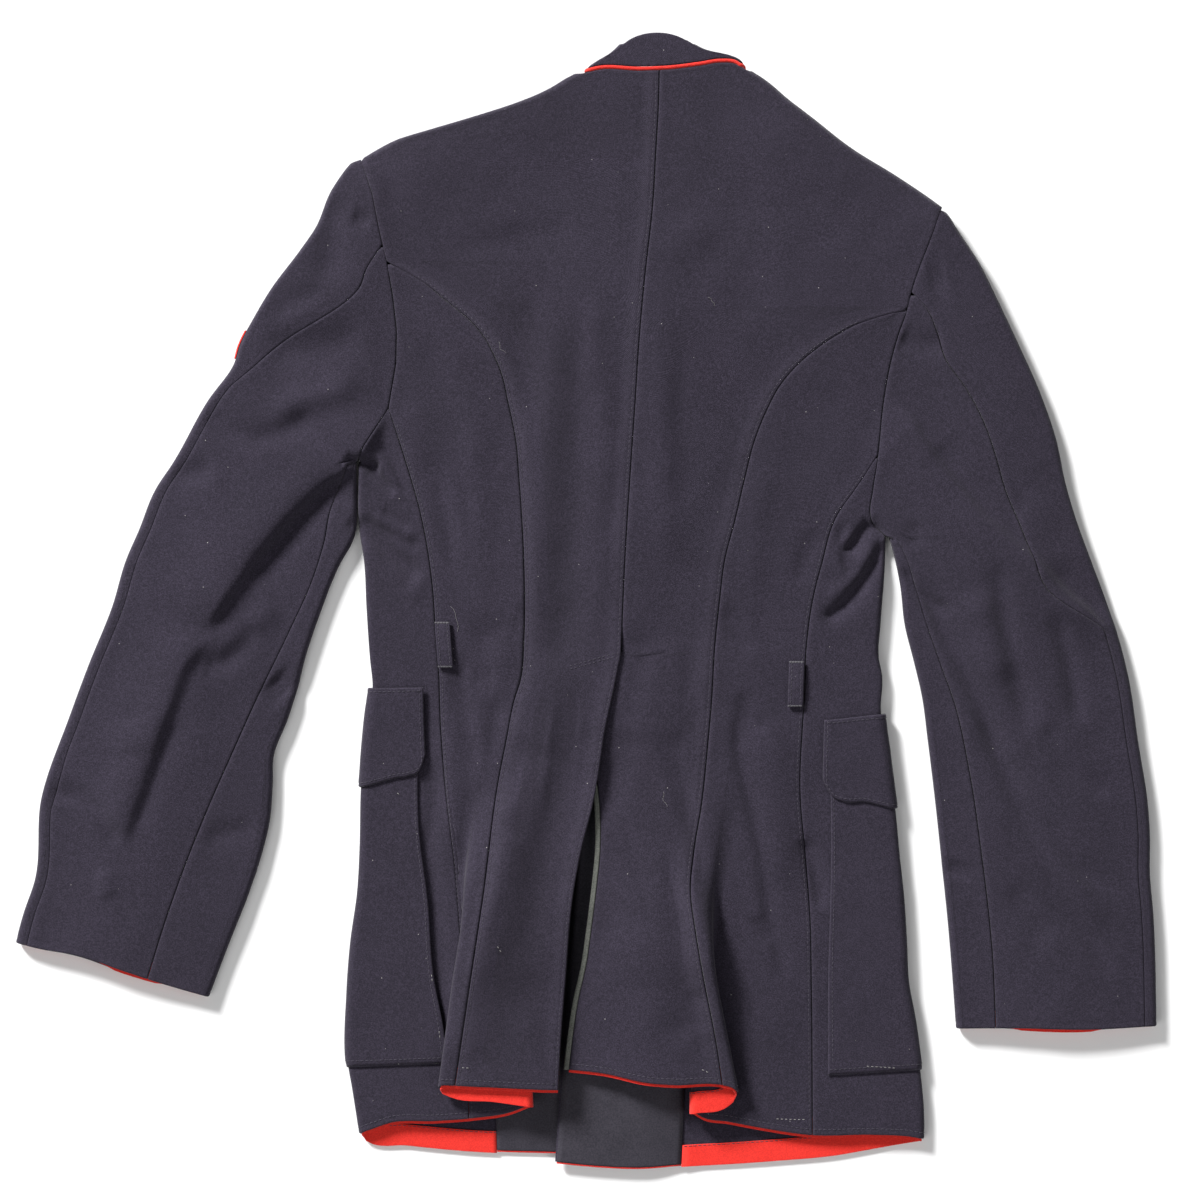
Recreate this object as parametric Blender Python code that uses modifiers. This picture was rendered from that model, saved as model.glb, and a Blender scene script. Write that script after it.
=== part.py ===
"""Military dress tunic, laid flat on its front with its back up.

Lengths are in millimetres until a mesh is made. X runs across the back (the wearer's left is
at -X), Y runs up the back towards the collar, and Z is up from the surface it lies on. Every
cloth piece is an open surface, worked out from seam tables and a few height rules, which a
Solidify modifier gives its thickness. Pieces that share a seam share its rows of points.
"""

import math

import bpy
import numpy as np

METRES = 0.001
CLOTH = 1.6  # thickness of the wool
TRIM = 1.0  # thickness of the red band and of the facings
GAP = 0.3  # between pieces that meet or lie on each other
ROLL = 4.0  # how far in from an edge the cloth turns over
REST = CLOTH / 2  # height of the lower layer's middle
TOP = 8.5  # height of the upper layer's middle, where no fold lifts it
STEP = 35.0  # most distance between rows of points along the garment
CENTRED = (1.0455, -0.9388)  # moves the finished garment so that its box is centred

NECK_Y, NECK_CENTRE_X = 418.6, 61.8  # the neckline's sides and centre
NECK_HALF_WIDTH, NECK_DROP = 58.4, 73.0
PIPING_ROOM = 4.0  # between the collar's lower edge and the panels
NECK_ANGLES = (15, 30, 45, 60, 75, 90)  # round each half of the front neckline
UNDERARM_Y = {"left": 110.0, "right": 52.0}
VENT_TOP_Y, VENT_HELD_Y = -41.0, -53.0  # where the vent opens, and where its underlap starts
HEM_Y = -400.0  # level of the last row of points, before it slides to its hem
NECK_SLIDE_Y, HEM_SLIDE_Y = 395.0, -250.0  # past these heights, rows slide to the panels' ends
CUFF_SLIDE_Y, HEAD_SLIDE = 40.0, 20.0  # the same for a sleeve: a height, and a distance
BUTTON_STAND = 30.0  # how far each front reaches past the centre line
CENTRE_FRONT = ((60.0, 345.0), (4.0, -445.0))

# Each seam or edge is a table whose columns are height Y and distance across X.
SHOULDER = {
    "left": ((420, -4), (414, -16), (405, -31), (398, -46), (393, -59), (380, -100),
             (372, -127), (365, -150), (357, -166), (349, -179)),
    "right": ((421, 127), (412, 141), (396, 160), (383, 177), (356, 212), (337, 243),
              (316, 274), (310, 282)),
}
ARMHOLE = {
    "left": ((349, -179), (322, -169.5), (295, -164.5), (281, -161.5), (266, -158),
             (241, -153.7), (214, -150.7), (188, -151.3), (153, -157.3), (149, -159.5),
             (122, -177), (113, -181), (110, -182)),
    "right": ((310, 279), (286, 270.6), (264, 262), (241, 254.7), (229, 252), (212, 246),
              (190, 239.8), (160, 234.3), (116, 229.5), (110, 228.7), (88, 225.5), (66, 224),
              (61, 226), (55, 232), (52, 235)),
}
BODY_EDGE = {
    "left": ((110, -181.5), (56, -180.6), (33, -177), (-4, -175), (-46, -172), (-68, -170),
             (-90, -172.8), (-150, -177.5), (-196, -178.5), (-230, -180.5), (-270, -186),
             (-310, -189), (-370, -189), (-381, -187), (-406, -183), (-440, -178)),
    "right": ((52, 236), (30, 235.4), (-17, 232), (-45, 230.5), (-58, 233), (-85, 232),
              (-124, 236.5), (-168, 242), (-200, 245), (-238, 249), (-271, 251), (-301, 252.5),
              (-331, 258), (-373, 263.5), (-399, 266), (-450, 266)),
}
SIDE_SEAM = {
    "left": ((153, -157.5), (112, -144), (70, -132), (17, -123), (-22, -120), (-56, -117.5),
             (-98, -116), (-143, -112.5), (-215, -104), (-253, -101), (-323, -96), (-440, -93)),
    "right": ((116, 229.5), (101, 220), (85, 209), (72, 199.5), (29, 185), (1, 178), (-31, 173.5),
              (-82, 171), (-150, 168), (-200, 172), (-251, 176), (-301, 177), (-440, 178)),
}
PRINCESS_SEAM = {
    "left": ((268, -158.5), (260, -143), (250, -127), (237, -111), (224, -95), (211, -83),
             (195, -74), (179, -67.5), (159, -63), (127, -56.5), (98, -54), (30, -50), (-30, -50),
             (-61, -52.5), (-79, -58), (-112, -64.5), (-146, -71), (-205, -78.5), (-226, -81),
             (-260, -86), (-300, -92), (-340, -98), (-400, -107)),
    "right": ((230.8, 254), (226, 235), (220, 216), (211, 198), (199, 180), (184, 163),
              (172, 153), (152, 142), (127, 132), (96, 124), (64, 116.5), (33, 108.5), (2, 104.5),
              (-36, 100.5), (-79, 98), (-113, 95), (-164, 89.5), (-196, 84), (-226, 81),
              (-260, 85), (-300, 92), (-340, 100), (-400, 109)),
}
PRINCESS_ROWS = {"left": (257, 231, 199, 171), "right": (225, 219, 202, 176, 140)}
CENTRE_SEAM = ((430, 57), (389, 56), (354, 54), (318, 52), (253, 45), (208, 41), (154, 37.5),
               (96, 33.5), (30, 29.5), (-41, 26.5))
VENT_OVERLAP = ((-41, 26.5), (-73, 20), (-98, 14.5), (-140, 8), (-161, 4), (-192, -4),
                (-236, -12), (-294, -17), (-331, -20), (-400, -24))
VENT_UNDERLAP = ((-53, -10), (-78, -6), (-125, 0.5), (-158, 5), (-194, 6), (-226, 3), (-258, -1),
                 (-286, -5), (-315, -11.5), (-345, -16), (-400, -22))
SLEEVE_OUTER = {
    "left": ((349, -186), (324, -203), (294, -216), (278, -227), (246, -251), (226, -263),
             (203, -275), (187, -280), (159, -300), (111, -327), (88, -342), (56, -355),
             (33, -365), (-4, -376), (-51, -395), (-90, -409.5), (-155, -432), (-223, -438),
             (-246, -446), (-320, -462)),
    "right": ((310, 283), (297, 290.5), (267, 310), (238, 324.5), (203, 341), (165, 358),
              (127, 371), (94, 378), (62, 387.5), (32, 398.5), (0, 410.5), (-30, 420.5),
              (-60, 428), (-113, 436), (-157, 443), (-184, 445), (-215, 445), (-245, 447.5),
              (-350, 450.5)),
}
SLEEVE_INNER = {
    "left": ((110, -184), (90, -183.8), (56, -184.4), (33, -194), (-8, -211), (-42, -222.5),
             (-71, -230), (-94, -237.5), (-121, -248), (-144, -249), (-171, -251), (-201, -258),
             (-235, -269.5), (-269, -283), (-330, -306)),
    "right": ((52, 238), (34, 243), (15, 247), (-19, 251), (-47, 258), (-75, 264.5),
              (-109, 269), (-154, 274.5), (-210, 280.5), (-254, 285), (-350, 292.5)),
}
SLEEVE_BACK_SEAM = {
    "left": ((282, -161.5), (263, -174), (245, -182), (235, -193), (221, -215), (211, -232),
             (182, -267.5), (158, -296), (150, -304.5), (111, -325), (-320, -470)),
    "right": ((244, 256), (233, 266.5), (213, 276), (191, 283), (168, 299), (146, 311), (116, 322),
              (87, 330.5), (62, 341), (37, 351), (4, 368.5), (-15, 398.5), (-32, 425),
              (-350, 460)),
}
FOREARM_SEAM = {
    "left": ((110, -188.5), (92, -195.5), (71, -203.5), (47, -208), (19, -216.5), (-28, -237.5),
             (-74, -260), (-115, -278.5), (-165, -300.5), (-205, -316.5), (-244, -330.5),
             (-320, -354)),
    "right": ((52, 243), (34, 252), (15, 258), (-15, 267), (-47, 278), (-79, 289.5), (-136, 302),
              (-201, 311.5), (-272, 319.5), (-350, 323)),
}
SLEEVE_TOP_Y = {"left": 345.5, "right": 307.5}
BACK_SEAM_INSET = 8.0  # past the elbow the back seam runs this far inside the outer edge

# Each hem or cuff is a table whose columns are distance across X and height Y.
NECKLINE = ((-4, 417), (10, 420), (41, 419), (65, 420), (89, 423), (105, 425.5), (117, 424.5),
            (127, 419))
SLEEVE_HEAD = {"left": ((-189, 345), (-178, 349)), "right": ((278, 309.2), (286, 305.6))}
TOP_HEM = {
    "left": ((-118, -380.5), (-24, -384.5)),
    "right": ((-24, -368.5), (15, -372.5), (47, -379), (68, -380.5), (106, -380.5), (119, -384)),
}
LOWER_HEM = {
    "left": ((-180, -420), (-172, -417.5), (-156, -412), (-120, -410.5), (-90, -408),
             (-60, -403), (-46, -397.5)),
    "right": ((84, -403), (90, -407), (111, -411), (143, -417), (174, -421.5), (227, -421.5),
              (255, -423), (266, -425)),
}
MIDDLE_HEM = {
    "left": ((-118, -384), (-105, -389.5), (-75, -392), (-46, -396)),
    "right": ((84, -401.5), (111, -395.5), (119, -388)),
}
FRONT_HEM = {
    "left": ((-180, -421.5), (-176, -424.5), (-143, -428.5), (-90, -433.5), (-30, -435.5),
             (34, -436.5)),
    "right": ((-26, -443), (5, -446), (43, -447.5), (72, -445.5), (110, -443.5), (153, -440.5),
              (196, -436.5), (227, -431), (259, -425.5), (266, -424.5)),
}
CUFF = {
    "left": ((-451, -270), (-435, -274), (-399, -280.5), (-367, -291.5), (-334, -302.5),
             (-300, -312.5)),
    "right": ((292, -337.5), (338, -337), (398, -338), (451, -335.5)),
}
CUFF_SAG = 2.5  # how much lower the under layer hangs in the middle of a cuff

# The skirt's fold. Columns: height, where its first turn starts, the run between its two turns,
# and the angle that each turn has reached.
SKIRT_FOLD = {
    "left": ((-53, -62, 2, 0), (-88, -64, 2, 8), (-122, -71, 2, 18), (-157, -77, 2, 35),
             (-192, -84, 2, 60), (-226, -91, 1, 102), (-261, -96, 5, 160), (-296, -102, 24, 178),
             (-340, -108, 45, 180), (-384, -114, 66, 180)),
    "right": ((20, 113, 2, 0), (-40, 107, 2, 0), (-122, 101, 2, 0), (-157, 97, 2, 10),
              (-192, 92, 2, 25), (-226, 89, 2, 52), (-261, 92, 1, 102), (-296, 97, 4, 160),
              (-331, 104, 14, 178), (-386, 115, 29, 180)),
}
FOLD_TURN = {"left": 10.0, "right": 10.7}  # length of cloth round each turn
GATHER_Y = {"left": (100.0, -40.0), "right": (20.0, -115.0)}  # where its points draw together
RISE_AT_VENT = {"left": 0.85, "right": 0.15}  # share of the fold's height that is left at the vent

# The main folds: points (X, Y) along each, its height, and its spread to the left and right.
FOLDS = (
    (((-190, 300), (-222, 230), (-262, 150), (-300, 60), (-330, -40), (-352, -150),
      (-375, -290)), 4.5, 40, 40),
    (((292, 265), (318, 200), (318, 100), (332, 0), (350, -110), (364, -220), (371, -340)),
     4.5, 40, 40),
    (((60, 430), (45, 200), (27, -41), (5, -200), (-18, -400)), 4.2, 62, 62),
    (((-120, 300), (-95, 235)), 3.0, 50, 50),
    (((165, 290), (195, 225)), 3.0, 50, 50),
    (((-165, 335), (-60, 375)), 3.0, 25, 25),
    (((262, 305), (165, 375)), 3.0, 25, 25),
    (((-164, 142), (-186, 111), (-222, 88), (-247, 68), (-262, 36)), 3.5, 14, 26),
    (((-282, 19), (-316, -28), (-338, -90), (-368, -191)), -2.5, 14, 14),
    (((-260, -19), (-310, -58)), -2.0, 12, 12),
    (((239, 153), (262, 125), (292, 81)), -2.5, 10, 12),
    (((248, 150), (282, 112), (305, 85)), 2.5, 12, 14),
    (((250, 22), (292, -40), (321, -122), (357, -184), (391, -254)), -3.0, 15, 15),
    (((20, -120), (45, -200), (80, -283), (98, -322)), -2.5, 14, 14),
    (((62, -90), (82, -178), (96, -230)), -1.5, 12, 12),
    (((-25, -60), (-55, -180), (-80, -300)), 2.0, 18, 18),
    (((120, -60), (132, -170), (152, -330)), 1.8, 16, 16),
)

FACING_TOP_Y = -130.0
FACING_EDGE_X = {"left": -71.5, "right": 74.0}  # where the facing ends and the red band starts
FACING_END_X = {"left": -8.0, "right": -24.5}  # where the facing stops
BAND_WIDTH, BAND_SHOWS = 15.0, 1.6  # the red band's width, and how far it shows past a hem
BINDING_WIDTH, BINDING_THICK = 4.0, 2.0
CUFF_BAND_WIDTH, CUFF_BAND_SHOWS = 14.0, 0.5

# A pocket or flap is placed by heights, and by distances round the cloth from its free edge.
POCKET_TOP_Y = {"left": -88.0, "right": -112.0}
POCKET_FREE_EDGE = {
    "left": ((-88, -134), (-130, -134), (-180, -133), (-236, -126), (-297, -121), (-339, -113),
             (-380, -109)),
    "right": ((-112, 191), (-150, 192), (-226, 192), (-258, 191), (-299, 190), (-373, 190)),
}
POCKET_HEM = {"left": ((-190, -368), (-114, -365)), "right": ((190, -374.5), (266, -370))}
FLAP_TOP = {"left": ((-175, -68.5), (-129, -68)), "right": ((186, -93.5), (233, -89))}
FLAP_WIDTH = {"left": 150.0, "right": 160.0}
FLAP_CORNER, FLAP_EDGE_Y = 24.0, -90.0  # a corner's width, and where the side edge is read
FLAP_DEPTH = {
    "left": ((0, 50), (4, 63), (12, 69), (22, 71), (35, 75), (60, 84), (78, 90), (98, 84),
             (122, 76), (138, 68), (146, 60), (150, 48)),
    "right": ((0, 46), (5, 58), (14, 65), (30, 67), (46, 73), (66, 82), (85, 88), (107, 82),
              (131, 74), (148, 66), (156, 58), (160, 46)),
}
BELT_LOOP = {"left": (-113.4, -34.0), "right": (164.7, -65.0)}  # centre X and Y
LOOP_WIDTH, LOOP_LENGTH, LOOP_THICK, LOOP_BOW = 12.0, 35.0, 2.0, 1.2
COLLAR_LEAN = {"left": 26.0, "right": 39.5}  # how far in each side of its edge stands
COLLAR_BELLY, COLLAR_SINK = 2.2, 1.5
COLLAR_EDGE_Y, COLLAR_DROP, COLLAR_PEAK = 440.3, 56.0, 9.0  # its edge at the sides, front, back
PIPING_RADIUS, PIPING_LOW = 1.0, 1.25
BUTTON_RADIUS, BUTTON_THICK, BUTTON_EDGE = 10.0, 3.2, 0.8
BUTTON_Y = (318.0, 236.0, 154.0, 72.0, -10.0)

SEAM = GAP / 2
INSET = (CLOTH + TRIM) / 2 + GAP  # from the wool's middle to that of a band or facing inside it
SHOULDER_SEAM = 0.45  # half the gap between the ends of the shoulders' rolls
LAYER = CLOTH + GAP
EDGE_REACH_LESS, EDGE_EASE = 2.5, 40.0  # a side edge turns over less where it starts
FREE_EASE = 150.0  # below the shoulder, columns spread to the whole panel over this distance
VENT_DROP, VENT_DROP_Y, VENT_EASE = LAYER + 0.6, -155.0, 28.0  # the underlap, where it is lapped
VENT_LAPPED, VENT_CLEAR = 13.0, 34.0  # and how far past the overlap's edge it stays down

# Each front is lifted where it lies on the pocket, the flap, the buttons or the other front.
POCKET_LIFT, FLAP_LIFT, LIFT_EASE = LAYER + 0.15, 2 * LAYER + 0.3, 30.0
LIFT_ABOVE, FLAP_LIFT_LENGTH, POCKET_LIFT_END_Y = 36.0, 128.0, -396.0
LIFT_REACH = (126.0, 150.0)  # in from the side edge, where it starts and ends dying away
BUTTON_LIFT, BUTTON_LIFT_BELOW = BUTTON_THICK + GAP, 50.0
BUTTON_LIFT_TOP_Y, BUTTON_LIFT_EASE = 352.0, 40.0
BUTTON_LIFT_SIDE = (-105.0, -55.0)  # from the centre front, where it starts and is whole
LAP_LIFT, LAP_TOP_Y, LAP_EASE = CLOTH + TRIM + 5 * GAP, 345.0, 50.0
LAP_SIDE = (4.0, 60.0)  # past the button stand, where it starts and ends dying away
INTERIOR = {"left": 1.0, "right": -1.0}  # which way the garment lies from each side's edge
STRIP, TURN, FLAT = 3, 4, 6  # cells of a front: upper strip, round the edge, lower layer
POCKET_END = STRIP + TURN + 3  # the column of a front where its pocket ends


def read(table, at):
    """The second column of a table at a value of its first, on a smooth line through its rows."""
    rows = np.array(sorted(table), dtype=float)
    keys, values = rows[:, 0], rows[:, 1]
    at = np.clip(np.asarray(at, dtype=float), keys[0], keys[-1])
    if len(keys) == 2:
        return np.interp(at, keys, values)
    slopes = np.gradient(values, keys)
    cell = np.clip(np.searchsorted(keys, at) - 1, 0, len(keys) - 2)
    width = keys[cell + 1] - keys[cell]
    t = (at - keys[cell]) / width
    return (values[cell] * (1 + 2 * t) * (1 - t) ** 2 + values[cell + 1] * t**2 * (3 - 2 * t)
            + width * (slopes[cell] * t * (1 - t) ** 2 + slopes[cell + 1] * t**2 * (t - 1)))


def straight(table, at, column=1):
    """A column of a table at a value of its first, on straight lines between its rows."""
    rows = np.array(sorted(table), dtype=float)
    return np.interp(at, rows[:, 0], rows[:, column])


def ease(value, start, end):
    """0 at start, 1 at end, with a smooth run between them."""
    t = np.clip((np.asarray(value, dtype=float) - start) / (end - start), 0, 1)
    return t * t * (3 - 2 * t)


def between(value, low, high, soft):
    """1 from low to high, and 0 from soft outside them."""
    return ease(value, low - soft, low) * (1 - ease(value, high, high + soft))


def fold_height(x, y, path, height, left, right):
    """One soft fold: a bell shape across its path, with its own spread on each side."""
    nearest = np.full(np.shape(x), np.inf)
    side = np.ones(np.shape(x))
    for (ax, ay), (bx, by) in zip(path, path[1:]):
        run_x, run_y = bx - ax, by - ay
        t = np.clip(((x - ax) * run_x + (y - ay) * run_y) / (run_x**2 + run_y**2), 0, 1)
        off_x, off_y = x - ax - t * run_x, y - ay - t * run_y
        away = np.hypot(off_x, off_y)
        closer = away < nearest
        nearest = np.where(closer, away, nearest)
        side = np.where(closer, run_x * off_y - run_y * off_x, side)
    spread = np.where(side > 0, left, right)
    return height * np.exp(-0.5 * (nearest / spread) ** 2)


def upper(x, y):
    """Height of the middle of the upper layer."""
    x, y = np.broadcast_arrays(np.asarray(x, dtype=float), np.asarray(y, dtype=float))
    return TOP + sum(fold_height(x, y, *fold) for fold in FOLDS)


def skirt_fold(side, y):
    """The skirt's fold at a height: its start, its run, its turns' angle, and how high it stands."""
    first, run, degrees = (straight(SKIRT_FOLD[side], y, column) for column in (1, 2, 3))
    angle = np.radians(np.maximum(degrees, 1.0))
    lift = 2 * FOLD_TURN[side] / angle * (1 - np.cos(angle)) + run * np.sin(angle)
    return first, run, angle, lift


def raised(side, x, y):
    """Height of a back panel, which the skirt's fold lifts below the waist."""
    seam = read(PRINCESS_SEAM[side], y)
    vent = read(VENT_OVERLAP if side == "left" else VENT_UNDERLAP, y)
    first, run, angle, lift = skirt_fold(side, y)
    cleared = 12 + np.abs(INTERIOR[side] * (first - seam) - run * np.cos(angle))
    share = 1 - (1 - RISE_AT_VENT[side]) * ease(np.abs(x - seam), cleared, np.abs(vent - seam))
    return upper(x, y) + lift * share


def centre_front(y):
    """Distance across of the straight line through the buttons."""
    (x_top, y_top), (x_low, y_low) = CENTRE_FRONT
    return x_top + (np.asarray(y, dtype=float) - y_top) * (x_low - x_top) / (y_low - y_top)


def under(side, x, y):
    """Height of the middle of a front, lifted by the pocket, the buttons and the other front."""
    into = INTERIOR[side] * (x - read(BODY_EDGE[side], y))
    lain_on = 1 - ease(into, *LIFT_REACH)
    flap_y = FLAP_TOP[side][0][1]
    pocket = between(y, POCKET_LIFT_END_Y, POCKET_TOP_Y[side] + LIFT_ABOVE, LIFT_EASE) * lain_on
    flap = between(y, flap_y - FLAP_LIFT_LENGTH, flap_y + LIFT_ABOVE, LIFT_EASE) * lain_on
    height = REST + np.maximum(POCKET_LIFT * pocket, FLAP_LIFT * flap)
    centre = centre_front(y)
    buttoned = between(y, BUTTON_Y[-1] - BUTTON_LIFT_BELOW, BUTTON_LIFT_TOP_Y, BUTTON_LIFT_EASE)
    if side == "left":
        start, whole = BUTTON_LIFT_SIDE
        return height + BUTTON_LIFT * buttoned * ease(x, centre + start, centre + whole)
    lapped = 1 - ease(y, LAP_TOP_Y, LAP_TOP_Y + LAP_EASE)
    lifted = np.maximum(height, REST + (BUTTON_LIFT * buttoned + LAP_LIFT) * lapped)
    stand = centre + BUTTON_STAND
    share = 1 - ease(x, stand + LAP_SIDE[0], stand + LAP_SIDE[1])
    return height + (lifted - height) * share


def panel_rows(side, dense=False):
    """Heights of the rows of points that all the panels of one side share, from the neck down."""
    neck = [NECK_Y - (NECK_DROP + PIPING_ROOM) * math.sin(math.radians(a)) for a in NECK_ANGLES]
    stops = [NECK_Y - 6.6, *neck, neck[-1] - 3.0, *(row[0] for row in ARMHOLE[side])]
    stops += [VENT_TOP_Y, VENT_HELD_Y, HEM_Y]
    if dense:
        stops += PRINCESS_ROWS[side]
    stops = sorted(set(stops), reverse=True)
    heights = stops[:1]
    for start, end in zip(stops, stops[1:]):
        count = math.ceil((start - end) / STEP - 0.01)
        heights += [start + (end - start) * (i + 1) / count for i in range(count)]
    return np.array(heights)


def settle(rows, columns, layout, slide):
    """X and Y of a panel's points, where rows slide to its ends and X follows the new Y."""
    y = np.repeat(rows[:, None], columns, axis=1)
    for _ in range(4):
        x = layout(y)
        y = slide(rows[:, None], x)
    return layout(y), y


def slide_to(rows, target, start):
    """Rows that slide from level at the start height to the target line at the last row."""
    return rows + ease(-rows, -start, -rows.min()) * (target - rows.min())


def material(name, colour, roughness, metallic=0.0):
    """A plain material of one colour."""
    made = bpy.data.materials.new(name)
    made.use_nodes = True
    shader = made.node_tree.nodes["Principled BSDF"]
    shader.inputs["Base Color"].default_value = (*colour, 1.0)
    shader.inputs["Roughness"].default_value = roughness
    shader.inputs["Metallic"].default_value = metallic
    return made


def piece(name, points, finish, thickness=CLOTH, cells=None):
    """A cloth piece: a grid of middle points (rows, columns, 3), given its wall by Solidify."""
    rows, columns = points.shape[:2]
    if cells is None:
        cells = np.ones((rows - 1, columns - 1), dtype=bool)
    number = np.arange(rows * columns).reshape(rows, columns)
    corners = np.stack([number[:-1, :-1], number[1:, :-1], number[1:, 1:], number[:-1, 1:]], axis=-1)
    used, faces = np.unique(corners[cells], return_inverse=True)
    placed = points.reshape(-1, 3)[used] + np.array([*CENTRED, 0.0])
    mesh = bpy.data.meshes.new(name)
    mesh.from_pydata((placed * METRES).tolist(), [], faces.reshape(-1, 4).tolist())
    mesh.materials.append(finish)
    mesh.shade_smooth()
    made = bpy.data.objects.new(name, mesh)
    garment.objects.link(made)
    wall = made.modifiers.new("cloth wall", "SOLIDIFY")
    wall.thickness = thickness * METRES
    wall.offset = 0.0
    wall.use_even_offset = True
    wall.use_quality_normals = True


def moved_out(points, distance):
    """The same grid, moved square to itself by one distance, with its corners kept sharp."""
    along = np.gradient(points, axis=0)
    across = np.diff(points, axis=1)
    faces = np.cross(across, (along[:, 1:] + along[:, :-1]) / 2)
    faces /= np.linalg.norm(faces, axis=2, keepdims=True)
    before = np.concatenate([faces[:, :1], faces], axis=1)
    after = np.concatenate([faces, faces[:, -1:]], axis=1)
    normal = before + after
    normal /= np.linalg.norm(normal, axis=2, keepdims=True)
    return points + distance * normal / np.sum(normal * before, axis=2, keepdims=True)


def on_panel(points, rows, columns):
    """Points at fractional row and column numbers of a panel's grid."""
    rows, columns = np.broadcast_arrays(np.asarray(rows, float), np.asarray(columns, float))
    r = np.clip(rows.astype(int), 0, points.shape[0] - 2)
    c = np.clip(columns.astype(int), 0, points.shape[1] - 2)
    part_r, part_c = (rows - r)[..., None], (columns - c)[..., None]
    top = points[r, c] * (1 - part_c) + points[r, c + 1] * part_c
    low = points[r + 1, c] * (1 - part_c) + points[r + 1, c + 1] * part_c
    return top * (1 - part_r) + low * part_r


def row_at(points, column, y):
    """The fractional row number where a column of a panel passes a height."""
    return np.interp(-np.asarray(y, dtype=float), -points[:, column, 1], np.arange(len(points)))


def turned(edge, inward, angle, reach):
    """Distance across of a turned edge: the angle is 90 on the upper layer, -90 on the lower."""
    return edge + inward * (CLOTH / 2 + reach * (1 - np.cos(np.radians(angle))))


def level(high, low, angle):
    """Height round a turned edge."""
    return (high + low) / 2 + (high - low) / 2 * np.sin(np.radians(angle))


def shoulder_reach(side, y):
    """How far in the shoulder's turned edge reaches, which is more where it slants."""
    slant = (read(SHOULDER[side], y + 2) - read(SHOULDER[side], y - 2)) / 4
    return ROLL * np.sqrt(1 + np.minimum(slant**2, 4))


def edge_reach(side, y):
    """How far in a side edge turns over, which is less where it starts at the underarm."""
    return ROLL - EDGE_REACH_LESS * ease(y, UNDERARM_Y[side] - EDGE_EASE, UNDERARM_Y[side])


def back_panel(side):
    """From the shoulder, armhole and princess seam to the centre seam and the vent's edge."""
    inward = INTERIOR[side]
    shoulder_end, seam_top = SHOULDER[side][-1][0], PRINCESS_SEAM[side][0][0] - 1.5
    rows = np.concatenate([[NECK_Y + 0.4], panel_rows(side, dense=True)])
    on_shoulder = rows[:, None] > shoulder_end
    rolls = np.array([0, 45, 90, 90, 90, 90, 90, 90])
    free = ease(shoulder_end - rows[:, None], 0, FREE_EASE)
    shares = np.array([0, 0, 0, 0.2, 0.4, 0.6, 0.8, 1.0]) * (1 - free)
    shares = shares + np.array([0, 0.1, 0.22, 0.37, 0.53, 0.69, 0.85, 1.0]) * free
    starts = np.array([0, 2.0, 7, 7, 7, 7, 7, 7]) * (1 - free)

    def layout(y):
        roll = turned(read(SHOULDER[side], y), inward, rolls, shoulder_reach(side, y))
        seam = np.where(rows[:, None] >= seam_top, straight(ARMHOLE[side], y),
                        read(PRINCESS_SEAM[side], y))
        outer = np.where(on_shoulder, roll, seam + inward * (SEAM + starts))
        centre = read(CENTRE_SEAM, y) - inward * SEAM
        vent = read(VENT_OVERLAP, y)
        if side == "right":
            vent = read(VENT_UNDERLAP, y) + BINDING_WIDTH + GAP
        return outer + shares * (np.where(rows[:, None] >= VENT_TOP_Y, centre, vent) - outer)

    def slide(level_y, x):
        up = ease(level_y, NECK_SLIDE_Y, level_y.max()) * (read(NECKLINE, x) - level_y.max())
        return slide_to(level_y, read(TOP_HEM[side], x[-1]), HEM_SLIDE_Y) + up

    x, y = settle(rows, 8, layout, slide)
    z = raised(side, x, y)
    if side == "right":
        past = x - read(VENT_OVERLAP, y)
        beside = 1 - ease(past, VENT_LAPPED, VENT_CLEAR)
        z = z - VENT_DROP * between(y, VENT_DROP_Y, VENT_TOP_Y, VENT_EASE) * beside
    middle = (z + under(side, x, y)) / 2 + SHOULDER_SEAM
    z = np.where(on_shoulder, middle + (z - middle) * np.sin(np.radians(rolls)), z)
    return np.stack([x, y, z], axis=-1)


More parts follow.
